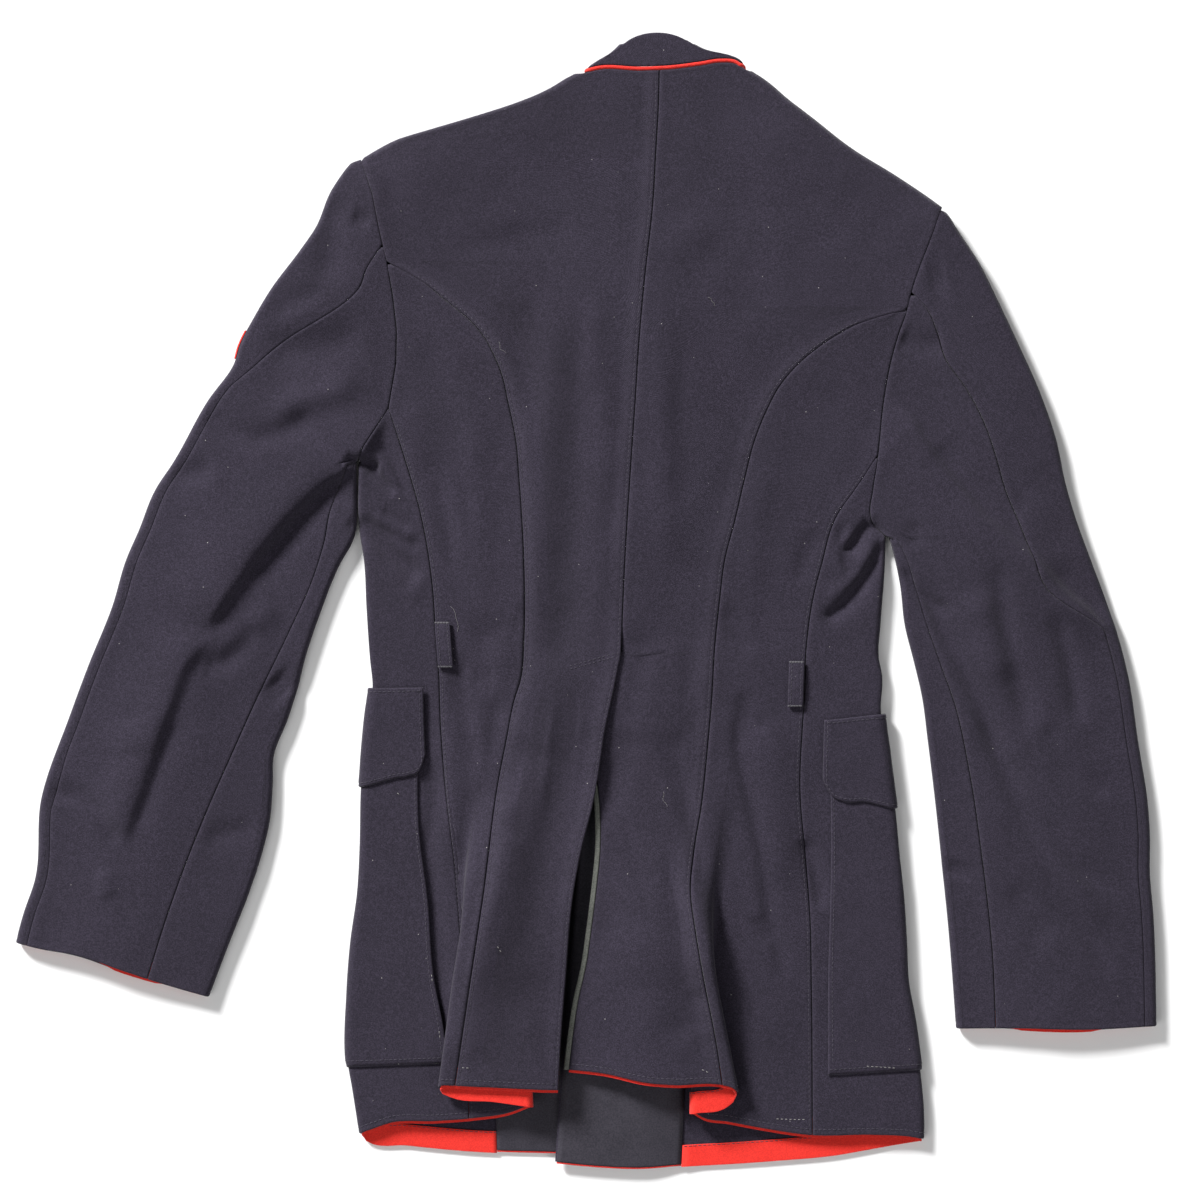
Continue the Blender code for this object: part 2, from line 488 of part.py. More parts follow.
def side_back_panel(side):
    """From the princess seam, over the skirt's fold, to the side seam and armhole."""
    inward = INTERIOR[side]
    seam_top, side_top = PRINCESS_SEAM[side][0][0] - 1.5, SIDE_SEAM[side][0][0]
    rows = panel_rows(side, dense=True)
    rows = rows[rows <= seam_top]
    steps = np.linspace(0, 1, 5)

    def profile(y):
        """Distance out and drop, of points round the first turn and then round the second."""
        _, run, angle, _ = skirt_fold(side, y)
        first_turn, second_turn = angle[:, 1:6] * steps, angle[:, 6:11] * steps[::-1]
        angle, run = angle[:, 6:11], run[:, 6:11]
        radius = FOLD_TURN[side] / angle
        out = radius * (2 * np.sin(angle) - np.sin(second_turn)) + run * np.cos(angle)
        drop = radius * (1 + np.cos(second_turn) - 2 * np.cos(angle)) + run * np.sin(angle)
        return (np.concatenate([radius * np.sin(first_turn), out], axis=1),
                np.concatenate([radius * (1 - np.cos(first_turn)), drop], axis=1))

    def layout(y):
        seam = read(PRINCESS_SEAM[side], y) - inward * SEAM
        outer = np.where(rows[:, None] > side_top - 1, straight(ARMHOLE[side], y),
                         read(SIDE_SEAM[side], y)) + inward * SEAM
        turns = skirt_fold(side, y)[0][:, 1:11] - inward * profile(y)[0]
        rest = turns[:, -1:] + np.array([1, 2, 3]) / 3 * (outer[:, 11:] - turns[:, -1:])
        folded = np.concatenate([seam[:, :1], turns, rest], axis=1)
        even = seam + np.linspace(0, 1, 14) * (outer - seam)
        return even + (1 - ease(y, *GATHER_Y[side][::-1])) * (folded - even)

    def slide(level_y, x):
        turns = np.linspace(0, 1, 5)
        ridge, inner = x[-1, 3], x[-1, 8]
        top = read(TOP_HEM[side], ridge) + turns * (read(MIDDLE_HEM[side], ridge)
                                                    - read(TOP_HEM[side], ridge))
        low = read(MIDDLE_HEM[side], inner) + turns * (read(LOWER_HEM[side], inner)
                                                       - read(MIDDLE_HEM[side], inner))
        target = np.concatenate([[read(TOP_HEM[side], x[-1, 0])], top, low,
                                 read(LOWER_HEM[side], x[-1, 11:])])
        return slide_to(level_y, target, HEM_SLIDE_Y)

    x, y = settle(rows, 14, layout, slide)
    height = skirt_fold(side, y)[3]
    height[:, 1:11] -= profile(y)[1]
    height[:, 11:] = 0
    z = upper(x, y) + height
    return np.stack([x, y, z], axis=-1)


def front_panel(side):
    """From the side seam round the side edge, and on below to the neckline and front edge."""
    inward = INTERIOR[side]
    shoulder_end, underarm = SHOULDER[side][-1][0], UNDERARM_Y[side]
    rows = panel_rows(side)
    level_row = rows[:, None]
    on_shoulder, above = level_row > shoulder_end, level_row > underarm
    free = ease(shoulder_end - level_row, 0, FREE_EASE)
    shares = np.array([0, 0, 0, 0.25, 0.5, 0.75, 1.0]) * (1 - free)
    shares = shares + np.array([0, 0.11, 0.24, 0.44, 0.62, 0.8, 1.0]) * free
    starts = np.array([0, 2.0, 7, 7, 7, 7, 7]) * (1 - free)
    flat_rolls = np.array([0, -45, -90, -90, -90, -90, -90])
    turns = np.array([90, 45, 0, -45])
    split, flat = STRIP, STRIP + TURN

    def layout(y):
        edge, reach = read(BODY_EDGE[side], y), edge_reach(side, y)
        arm = straight(ARMHOLE[side], y) + inward * SEAM
        tangent = np.where(above, arm, turned(edge, inward, 90, reach))
        seam = read(SIDE_SEAM[side], y) - inward * SEAM
        strip = seam[:, :split] + np.arange(STRIP) / STRIP * (tangent - seam)[:, :split]
        turn = turned(edge[:, split:flat], inward, turns, reach[:, split:flat])
        turn = np.where(above, tangent[:, split:flat], turn)
        y_flat = y[:, flat:]
        roll = turned(read(SHOULDER[side], y_flat), inward, flat_rolls, shoulder_reach(side, y_flat))
        start = np.where(on_shoulder, roll, tangent[:, flat:] + inward * starts)
        drop = np.clip((NECK_Y - y_flat) / (NECK_DROP + PIPING_ROOM), 0, 1)
        neck = NECK_CENTRE_X - inward * (NECK_HALF_WIDTH + PIPING_ROOM) * np.sqrt(1 - drop**2)
        stand = centre_front(y_flat) + inward * BUTTON_STAND
        end = np.where(level_row > NECK_Y - NECK_DROP - PIPING_ROOM - 1, neck, stand)
        return np.concatenate([strip, turn, start + shares * (end - start)], axis=1)

    def slide(level_y, x):
        lower, front = read(LOWER_HEM[side], x[-1]), read(FRONT_HEM[side], x[-1])
        share = np.clip((np.arange(len(lower)) - split) / TURN, 0, 1)
        return slide_to(level_y, lower + share * (front - lower), HEM_SLIDE_Y)

    x, y = settle(rows, STRIP + TURN + FLAT + 1, layout, slide)
    edge = read(BODY_EDGE[side], y)
    tangent = turned(edge, inward, 90, edge_reach(side, y))
    column = np.arange(x.shape[1])
    at_x = np.where((column > split) & (column < flat), tangent, x)
    high, low = upper(at_x, y), under(side, at_x, y)
    angle = np.concatenate([[90] * STRIP, turns, [-90] * (FLAT + 1)])
    z = level(high, low, angle)
    middle = (high + low)[:, flat:] / 2 - SHOULDER_SEAM
    rounded = middle + (middle - low[:, flat:]) * np.sin(np.radians(flat_rolls))
    z[:, flat:] = np.where(on_shoulder, rounded, z[:, flat:])
    cells = np.ones((len(rows) - 1, len(column) - 1), dtype=bool)
    cells[rows[1:] > SIDE_SEAM[side][0][0] - 5, :split] = False
    cells[rows[1:] > underarm - 1, split:flat] = False
    return np.stack([x, y, z], axis=-1), cells


def sleeve_rows(side):
    """Heights of a sleeve's rows: the armhole's own, then even ones down to the cuff."""
    top, underarm = SLEEVE_TOP_Y[side], UNDERARM_Y[side]
    cuff = sum(height for _, height in CUFF[side]) / len(CUFF[side])
    armhole = [row[0] for row in ARMHOLE[side] if row[0] < top - 2]
    count = math.ceil((underarm - 10 - cuff) / STEP)
    below = [underarm - 10 + (cuff - underarm + 10) * i / count for i in range(count + 1)]
    return np.array([top, *armhole, *below])


def back_seam(side, y):
    """The sleeve's back seam, which past the elbow runs just inside the outer edge."""
    inward = INTERIOR[side]
    seam = read(SLEEVE_BACK_SEAM[side], y)
    least = read(SLEEVE_OUTER[side], y) + inward * BACK_SEAM_INSET
    seam = np.maximum(seam, least) if side == "left" else np.minimum(seam, least)
    return np.where(y > SLEEVE_BACK_SEAM[side][0][0] - 2, straight(ARMHOLE[side], y), seam)


def sleeve_slide(side, level_y, x, sag):
    """Rows slid to the sleeve's head and to its cuff, which hangs lower on the under layer."""
    top = SLEEVE_TOP_Y[side]
    head = ease(level_y, top - HEAD_SLIDE, top) * (read(SLEEVE_HEAD[side], x) - top)
    across = (x[-1] - x[-1].min()) / (x[-1].max() - x[-1].min())
    target = read(CUFF[side], x[-1]) - sag * CUFF_SAG * np.sin(np.pi * across) ** 2
    return slide_to(level_y, target, CUFF_SLIDE_Y) + head


def top_sleeve(side):
    """From the back seam round the outer edge, below, and round the inner edge to the other."""
    inward, underarm = INTERIOR[side], UNDERARM_Y[side]
    rows = sleeve_rows(side)
    wraps = rows[:, None] <= underarm
    outer_turns, inner_turns = np.array([90, 45, 0, -45, -90]), np.array([-45, 0, 45, 90])

    def layout(y):
        outer, inner = read(SLEEVE_OUTER[side], y), read(SLEEVE_INNER[side], y)
        start = back_seam(side, y) - inward * SEAM
        tangent = turned(outer, inward, 90, ROLL)
        reach = edge_reach(side, y)
        arm = straight(ARMHOLE[side], y) - inward * SEAM
        far = np.where(wraps, turned(inner, -inward, 90, reach), arm)
        end = np.where(wraps, read(FOREARM_SEAM[side], y) + inward * SEAM, arm)
        strip = start[:, :2] + np.array([0, 0.5]) * (tangent - start)[:, :2]
        turn = turned(outer[:, 2:7], inward, outer_turns, ROLL)
        flat = tangent[:, 7:11] + np.array([1, 2, 3, 4]) / 4 * (far - tangent)[:, 7:11]
        other_turn = turned(inner[:, 11:15], -inward, inner_turns, reach[:, 11:15])
        other = far[:, 15:] + np.array([0.5, 1]) * (end - far)[:, 15:]
        return np.concatenate([strip, turn, flat, other_turn, other], axis=1)

    sag = np.array([0] * 6 + [1] * 5 + [0] * 6)
    x, y = settle(rows, 17, layout, lambda level_y, x: sleeve_slide(side, level_y, x, sag))
    outer, inner = read(SLEEVE_OUTER[side], y), read(SLEEVE_INNER[side], y)
    column = np.arange(17)
    at_x = np.where((column > 2) & (column < 6), turned(outer, inward, 90, ROLL), x)
    at_x = np.where((column > 10) & (column < 14),
                    turned(inner, -inward, 90, edge_reach(side, y)), at_x)
    angle = np.concatenate([[90, 90], outer_turns, [-90] * 4, inner_turns, [90, 90]])
    z = level(upper(at_x, y), REST, angle)
    cells = np.ones((len(rows) - 1, 16), dtype=bool)
    cells[rows[1:] > underarm - 1, 10:] = False
    return np.stack([x, y, z], axis=-1), cells


def under_sleeve(side):
    """The panel between the sleeve's two seams, on the upper layer."""
    inward, underarm = INTERIOR[side], UNDERARM_Y[side]
    rows = sleeve_rows(side)
    rows = rows[rows < SLEEVE_BACK_SEAM[side][0][0] - 2]

    def layout(y):
        last = np.where(rows[:, None] > underarm + 1, straight(ARMHOLE[side], y),
                        read(FOREARM_SEAM[side], y))
        first = back_seam(side, y) + inward * SEAM
        return first + np.linspace(0, 1, 6) * (last - inward * SEAM - first)

    x, y = settle(rows, 6, layout, lambda level_y, x: sleeve_slide(side, level_y, x, 0))
    return np.stack([x, y, upper(x, y)], axis=-1)


def band_inside(ends, shows, width, side):
    """A band inside a hem: its panels' last two rows, cut to the band's width and moved in."""
    hem = np.concatenate([grid[-1] for grid in ends])
    above = np.concatenate([grid[-2] for grid in ends])
    apart = np.linalg.norm(np.diff(hem, axis=0), axis=1) > 0.6
    keep = np.concatenate([[True], apart])
    hem, above = hem[keep], above[keep]
    up = (above - hem) / np.abs(above[:, 1:2] - hem[:, 1:2])
    points = hem[None] + np.array([-shows, width])[:, None, None] * up[None]
    return moved_out(points, INTERIOR[side] * INSET)


def hem_band(side, back, side_back, front):
    """The red band, from the vent round every fold to the front facing."""
    edge = FACING_EDGE_X[side] - INTERIOR[side] * GAP
    kept = front[-2:]
    columns = np.arange(kept.shape[1], dtype=float)
    flat = STRIP + TURN
    cut = np.interp(INTERIOR[side] * edge, INTERIOR[side] * kept[-1, flat:, 0], columns[flat:])
    columns = np.append(columns[columns < cut - 0.2], cut)
    front_end = on_panel(kept, np.array([[0.0], [1.0]]), columns)
    ends = [back[-2:, ::-1], side_back[-2:], front_end]
    return band_inside(ends, BAND_SHOWS, BAND_WIDTH, side)


def cuff_band(side, top, under_grid):
    """The red band inside a cuff, round both layers from the back seam."""
    ends = [top[-2:], under_grid[-2:, ::-1]]
    return band_inside(ends, CUFF_BAND_SHOWS, CUFF_BAND_WIDTH, side)[:, :-1]


def facing(side, front):
    """A facing on a front's inner face, on the front's own columns, down to the hem."""
    top = row_at(front, -1, FACING_TOP_Y)
    rows = np.append(top, np.arange(math.ceil(top + 0.3), len(front)))
    flat = np.arange(STRIP + TURN, front.shape[1])
    across = INTERIOR[side] * front[-1, flat, 0]
    first = np.interp(INTERIOR[side] * FACING_EDGE_X[side], across, flat)
    last = np.interp(INTERIOR[side] * FACING_END_X[side], across, flat)
    inner = [column for column in flat if first + 0.15 < column < last - 0.15]
    grid = on_panel(front, rows[:, None], np.array([first, *inner, last]))
    return moved_out(grid, -INTERIOR[side] * (INSET + 0.15))


def pocket(side, front):
    """A skirt pocket, on the front's own points moved out, round the side edge."""
    inward = INTERIOR[side]
    top = float(row_at(front, STRIP, POCKET_TOP_Y[side]))
    columns = np.array([1.0, *range(2, POCKET_END + 1)])
    hem = np.array([row_at(front, int(c), float(read(POCKET_HEM[side], front[-2, int(c), 0])))
                    for c in columns])
    inner_rows = np.arange(math.ceil(top + 0.3), math.floor(hem.min() - 0.2) + 1)
    rows = np.vstack([np.repeat(np.append(top, inner_rows)[:, None], len(columns), axis=1), hem])
    places = np.repeat(columns[None], len(rows), axis=0)
    for i, row in enumerate(rows):
        line = on_panel(front, row[0], np.arange(STRIP + 1))
        free_x = read(POCKET_FREE_EDGE[side], line[0, 1])
        places[i, 0] = np.interp(-inward * free_x, -inward * line[:, 0], np.arange(STRIP + 1))
    return moved_out(on_panel(front, rows, places), inward * LAYER)


def flap(side, front):
    """A pocket flap over the pocket, with round corners and a lower middle."""
    inward, width = INTERIOR[side], FLAP_WIDTH[side]
    corner = FLAP_TOP[side][1] if side == "left" else FLAP_TOP[side][0]
    row = float(row_at(front, 1, corner[1] - 30))
    line = on_panel(front, row, np.arange(front.shape[1]))
    strip = line[:STRIP + 1, 0]
    free = float(np.interp(-inward * corner[0], -inward * strip, np.arange(STRIP + 1)))
    steps = np.linalg.norm(np.diff(line, axis=0), axis=1)
    reach = np.concatenate([[0], np.cumsum(steps)])
    reach -= np.interp(free, np.arange(len(reach)), reach)
    inner = [r for r in reach if FLAP_CORNER + 4 < r < width - FLAP_CORNER - 4]
    corner_steps = FLAP_CORNER * np.array([0, 1 / 6, 1 / 2, 1])
    around = np.concatenate([corner_steps, inner, width - corner_steps[::-1]])
    columns = np.interp(around, reach, np.arange(len(reach)))
    depth = read(FLAP_DEPTH[side], around)
    turn = reach[STRIP + TURN // 2]  # at the side edge itself
    flat_x = read(BODY_EDGE[side], FLAP_EDGE_Y) + inward * np.abs(around - turn)
    y = read(FLAP_TOP[side], flat_x) - np.linspace(0, 1, 4)[:, None] * depth
    rows = row_at(front, STRIP, y)
    return moved_out(on_panel(front, rows, columns[None] + 0 * rows), inward * (2 * LAYER + 0.1))


def vent_binding(back):
    """The bound edge of the vent's underlap, beside the right back's own edge."""
    edge = back[back[:, -1, 1] < VENT_HELD_Y + 6][:, -1]
    across = np.array([GAP, GAP + BINDING_WIDTH])
    points = np.repeat(edge[:, None], 2, axis=1)
    points[..., 0] -= across
    return points


def belt_loop(side):
    """A flat strip that stands a little off the side seam between its two sewn ends."""
    centre_x, centre_y = BELT_LOOP[side]
    y = centre_y + LOOP_LENGTH * np.linspace(0.5, -0.5, 7)[:, None]
    lean = read(SIDE_SEAM[side], y) - read(SIDE_SEAM[side], centre_y)
    x = centre_x + lean + LOOP_WIDTH * np.linspace(-0.5, 0.5, 3)
    bow = LOOP_BOW * np.sin(np.pi * np.linspace(0, 1, 7))[:, None] ** 0.5
    off = CLOTH / 2 + 2 * GAP + LOOP_THICK / 2
    z = np.max(upper(x, y + 0 * x), axis=1, keepdims=True) + off + bow
    return np.stack([x, y + 0 * x, z + 0 * x], axis=-1)


def collar_points(heights, outset):
    """Points round the collar from the front's centre on the left, over the back, to the right.
    A height of 0 is its seam and 1 its upper edge; the outset moves a line out past the seam."""
    front = np.radians([87, 75, 60, 45, 30, 15, 0])
    back = np.radians([90, 60, 30, 0, -30, -60, -90])
    h = np.asarray(heights, dtype=float)[:, None]
    belly = COLLAR_BELLY * np.sin(np.pi * h)
    left = NECK_CENTRE_X - NECK_HALF_WIDTH - outset + COLLAR_LEAN["left"] * h + belly
    right = NECK_CENTRE_X + NECK_HALF_WIDTH + outset - COLLAR_LEAN["right"] * h - belly
    centre, half = (left + right) / 2, (right - left) / 2
    edge_height = float(upper(NECK_CENTRE_X, COLLAR_EDGE_Y)) - COLLAR_SINK

    def front_part(sign, angles):
        x = centre + sign * half * np.cos(angles)
        seam_y = NECK_Y - (NECK_DROP + outset) * np.sin(angles)
        y = seam_y * (1 - h) + (COLLAR_EDGE_Y - COLLAR_DROP * np.sin(angles)) * h
        low = under("left" if sign < 0 else "right", x, y)
        return np.stack([x, y, low * (1 - h) + (REST + 0.2) * h], axis=-1)

    def back_part():
        x = centre - half * np.sin(back)
        seam_y = read(NECKLINE, x) + PIPING_ROOM - outset
        edge_y = COLLAR_EDGE_Y - np.sin(np.pi * h) + COLLAR_PEAK * np.cos(back) ** 1.5
        y = seam_y * (1 - h) + edge_y * h
        return np.stack([x, y, upper(x, y) * (1 - h) + edge_height * h], axis=-1)

    def turn(edge_x, sign, low_end, high_end):
        angles = np.radians([-45, 0, 45])
        x = edge_x + sign * (ROLL - 0.5) * np.cos(angles)
        share = (1 + np.sin(angles)) / 2
        y = low_end[:, 1:2] * (1 - share) + high_end[:, 1:2] * share
        z = low_end[:, 2:] * (1 - share) + high_end[:, 2:] * share
        return np.stack([x, y, z], axis=-1)

    first, over, last = front_part(-1, front), back_part(), front_part(1, front[::-1])
    turn_left = turn(left, -1, first[:, -1], over[:, 0])
    turn_right = turn(right, 1, last[:, 0], over[:, -1])[:, ::-1]
    return np.concatenate([first, turn_left, over, turn_right, last], axis=1)


def collar_piping(finish):
    """A cord in the collar's seam: a curve with a round bevel."""
    points = collar_points([0.0], PIPING_ROOM / 2 + 0.15)[0]
    points[:, 2] = np.maximum(points[:, 2], PIPING_LOW)
    data = bpy.data.curves.new("collar_piping", "CURVE")
    data.dimensions = "3D"
    path = data.splines.new("POLY")
    path.points.add(len(points) - 1)
    for point, place in zip(path.points, points + np.array([*CENTRED, 0.0])):
        point.co = (*(place * METRES), 1.0)
    data.bevel_depth = PIPING_RADIUS * METRES
    data.bevel_resolution = 1
    data.use_fill_caps = True
    data.materials.append(finish)
    garment.objects.link(bpy.data.objects.new("collar_piping", data))


def button(number, finish):
    """A plain turned disc, on which the front closure rests."""
    profile = ((0.0, BUTTON_THICK), (BUTTON_RADIUS - BUTTON_EDGE, BUTTON_THICK),
               (BUTTON_RADIUS, BUTTON_THICK - BUTTON_EDGE), (BUTTON_RADIUS, BUTTON_EDGE),
               (BUTTON_RADIUS - BUTTON_EDGE, 0.0), (0.0, 0.0))
    name = f"button_{number}"
    mesh = bpy.data.meshes.new(name)
    ring = [(radius * METRES, 0.0, height * METRES) for radius, height in profile]
    mesh.from_pydata(ring, [(i, i + 1) for i in range(len(ring) - 1)], [])
    mesh.materials.append(finish)
    made = bpy.data.objects.new(name, mesh)
    garment.objects.link(made)
    y = BUTTON_Y[number - 1]
    x = float(centre_front(y))
    made.location = ((x + CENTRED[0]) * METRES, (y + CENTRED[1]) * METRES, 0.0)
    spun = made.modifiers.new("spun", "SCREW")
    spun.steps = spun.render_steps = 18
    spun.use_merge_vertices = True
    spun.merge_threshold = 0.00001


for old in list(bpy.data.objects):
    bpy.data.objects.remove(old, do_unlink=True)
garment = bpy.data.collections.new("military dress tunic")
bpy.context.scene.collection.children.link(garment)

wool = material("navy wool", (0.022, 0.019, 0.034), 0.9)
red = material("red cloth", (0.70, 0.022, 0.018), 0.85)
dark = material("dark facing", (0.017, 0.016, 0.022), 0.9)
brass = material("plain brass", (0.70, 0.50, 0.20), 0.3, 1.0)

for side in ("left", "right"):
    back, side_back = back_panel(side), side_back_panel(side)
    front, front_cells = front_panel(side)
    piece(f"back_{side}", back, wool)
    piece(f"side_back_{side}", side_back, wool)
    piece(f"front_{side}", front, wool, cells=front_cells)
    piece(f"hem_band_{side}", hem_band(side, back, side_back, front), red, TRIM)
    piece(f"pocket_{side}", pocket(side, front), wool)
    piece(f"flap_{side}", flap(side, front), wool)
    piece(f"belt_loop_{side}", belt_loop(side), wool, LOOP_THICK)
    sleeve, sleeve_cells = top_sleeve(side)
    lower_panel = under_sleeve(side)
    piece(f"top_sleeve_{side}", sleeve, wool, cells=sleeve_cells)
    piece(f"under_sleeve_{side}", lower_panel, wool)
    piece(f"cuff_band_{side}", cuff_band(side, sleeve, lower_panel), red, TRIM)
    piece(f"front_facing_{side}", facing(side, front), dark, TRIM)
    if side == "right":
        piece("vent_binding", vent_binding(back), dark, BINDING_THICK)

piece("collar", collar_points([0.0, 0.5, 1.0], 0.0), wool)
collar_piping(red)
for number in range(1, len(BUTTON_Y) + 1):
    button(number, brass)
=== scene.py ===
"""Military dress tunic, laid flat on its front with its back up.

Lengths are in millimetres until a mesh is made. X runs across the back (the wearer's left is
at -X), Y runs up the back towards the collar, and Z is up from the surface it lies on.
"""

import math

import bpy
import numpy as np
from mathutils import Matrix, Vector


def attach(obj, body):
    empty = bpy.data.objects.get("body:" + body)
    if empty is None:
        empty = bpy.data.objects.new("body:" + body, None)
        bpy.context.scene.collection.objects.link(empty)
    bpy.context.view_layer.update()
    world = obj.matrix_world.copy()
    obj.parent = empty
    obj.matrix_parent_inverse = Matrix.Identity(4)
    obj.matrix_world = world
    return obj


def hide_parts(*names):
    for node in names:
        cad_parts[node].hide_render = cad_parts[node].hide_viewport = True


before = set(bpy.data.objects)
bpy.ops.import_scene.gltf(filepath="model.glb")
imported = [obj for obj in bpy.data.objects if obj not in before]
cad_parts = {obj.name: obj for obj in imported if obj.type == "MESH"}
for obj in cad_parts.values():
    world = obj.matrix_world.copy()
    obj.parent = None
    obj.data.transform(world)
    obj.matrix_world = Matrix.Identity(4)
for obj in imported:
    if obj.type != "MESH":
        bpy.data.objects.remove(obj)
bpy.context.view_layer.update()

# ---- The two back panels ---------------------------------------------------------------------
# Fine-napped navy wool twill, 1.6 mm thick, cut in two halves and joined by the centre back seam
# down to the vent, where the left one laps over the right. The seam is raised and topstitched on
# its left side, the shoulders roll over to the front, and the hem is turned up and stitched.

METRES = 0.001
CENTRED = np.array([1.0455, -0.9388, 0.0])
CLOTH, TRIM, GAP = 1.6, 1.0, 0.3  # the wool, the red band and facings, and what is between them
SEAM, LAYER = GAP / 2, CLOTH + GAP
ROLL, REST, TOP = 4.0, CLOTH / 2, 8.5  # an edge's roll, and the two layers' middle heights
LOWEST, LOWEST_AT_FRONT, LIFT_AT_VENT_TOP = 4.2, 10.5, 2.0  # how low the upper layer goes
LIFTED_Y, HELD_SOFTLY = (-100, -40), 0.5  # where the vent's top is lifted, and how soft the hold
WAVE, CREASE_FADE, PINCH_FADE = 0.22, 0.28, 0.14  # height, and shares of a path that fade
FRONTS_LAP, FRONTS_LAP_Y = ((-48, -34), (34, 92)), (-470, 346)  # where both fronts lie below it
CENTRE_FRONT = ((60.0, 345.0), (4.0, -445.0))
INTERIOR = {"left": 1.0, "right": -1.0}  # which way the garment lies from each side's edge
NECK_Y, NECK_X, NECK_HALF_WIDTH, NECK_DROP, PIPING_ROOM = 418.6, 61.8, 58.4, 73.0, 3.4
VENT_TOP_Y, HEM_Y, SLIDE_Y = -41.0, -400.0, -250.0
NECK_LEVEL_Y, SHOULDER_EASE = 395.0, 150.0  # where rows turn level, and columns even, below
SHOULDER_SEAM, BINDING_WIDTH = 0.45, 4.0
# How much lower the underlap lies, down to where, and how far past the overlap's edge.
UNDERLAP_DROP, UNDERLAP_LOW_Y, UNDERLAP_EASE = LAYER + 0.6, -155, (13, 34)
BACK_COLUMNS, ROLL_COLUMNS = 66, 9
HEM_STITCH = 5.45  # how many rows up from the hem its stitches run
NEAR = np.array([0.0, 0.5, 1.2, 2.4, 3.8, 6.0, 9.0])  # first points in from a seam or an edge
NARROW = 26  # a panel narrower than this has its first columns drawn together
LEVELS = np.concatenate([NECK_Y + 0.4 - NEAR, np.arange(407, -389, -3.0), HEM_Y + NEAR[::-1]])

# Columns: height Y and distance across X.
SHOULDER = {
    "left": ((420, -4), (414, -16), (405, -31), (398, -46), (393, -59), (380, -100),
             (372, -127), (365, -150), (357, -166), (349, -179)),
    "right": ((421, 127), (412, 141), (396, 160), (383, 177), (356, 212), (337, 243),
              (316, 274), (310, 282)),
}
ARMHOLE = {
    "left": ((349, -179), (322, -169.5), (295, -164.5), (281, -161.5), (266, -158),
             (241, -153.7), (214, -150.7), (188, -151.3), (153, -157.3), (149, -159.5),
             (122, -177), (113, -181), (110, -182)),
    "right": ((310, 279), (286, 270.6), (264, 262), (241, 254.7), (229, 252), (212, 246),
              (190, 239.8), (160, 234.3), (116, 229.5), (110, 228.7), (88, 225.5), (66, 224),
              (61, 226), (55, 232), (52, 235)),
}
PRINCESS_SEAM = {
    "left": ((268, -158.5), (260, -143), (250, -127), (237, -111), (224, -95), (211, -83),
             (195, -74), (179, -67.5), (159, -63), (127, -56.5), (98, -54), (30, -50), (-30, -50),
             (-61, -52.5), (-79, -58), (-112, -64.5), (-146, -71), (-205, -78.5), (-226, -81),
             (-260, -86), (-300, -92), (-340, -98), (-400, -107)),
    "right": ((230.8, 254), (226, 235), (220, 216), (211, 198), (199, 180), (184, 163),
              (172, 153), (152, 142), (127, 132), (96, 124), (64, 116.5), (33, 108.5), (2, 104.5),
              (-36, 100.5), (-79, 98), (-113, 95), (-164, 89.5), (-196, 84), (-226, 81),
              (-260, 85), (-300, 92), (-340, 100), (-400, 109)),
}
CENTRE_SEAM = ((430, 57), (389, 56), (354, 54), (318, 52), (253, 45), (208, 41), (154, 37.5),
               (96, 33.5), (30, 29.5), (-41, 26.5))
VENT_OVERLAP = ((-41, 26.5), (-73, 20), (-98, 14.5), (-140, 8), (-161, 4), (-192, -4),
                (-236, -12), (-294, -17), (-331, -20), (-400, -24))
VENT_UNDERLAP = ((-53, -10), (-78, -6), (-125, 0.5), (-158, 5), (-194, 6), (-226, 3), (-258, -1),
                 (-286, -5), (-315, -11.5), (-345, -16), (-400, -22))
# Columns: distance across X and height Y.
NECKLINE = ((-4, 417), (10, 420), (41, 419), (65, 420), (89, 423), (105, 425.5), (117, 424.5),
            (127, 419))
TOP_HEM = {
    "left": ((-118, -380.5), (-24, -384.5)),
    "right": ((-24, -368.5), (15, -372.5), (47, -379), (68, -380.5), (106, -380.5), (119, -384)),
}
# The skirt's fold. Columns: height, where its first turn starts, the run between its two turns,
# and the angle that each turn has reached.
SKIRT_FOLD = {
    "left": ((-53, -62, 2, 0), (-88, -64, 2, 8), (-122, -71, 2, 18), (-157, -77, 2, 35),
             (-192, -84, 2, 60), (-226, -91, 1, 102), (-261, -96, 5, 160), (-296, -102, 24, 178),
             (-340, -108, 45, 180), (-384, -114, 66, 180)),
    "right": ((20, 113, 2, 0), (-40, 107, 2, 0), (-122, 101, 2, 0), (-157, 97, 2, 10),
              (-192, 92, 2, 25), (-226, 89, 2, 52), (-261, 92, 1, 102), (-296, 97, 4, 160),
              (-331, 104, 14, 178), (-386, 115, 29, 180)),
}
FOLD_TURN = {"left": 10.0, "right": 10.7}  # length of cloth round each turn
RISE_AT_VENT = {"left": 0.85, "right": 0.15}  # share of the fold's height left at the vent

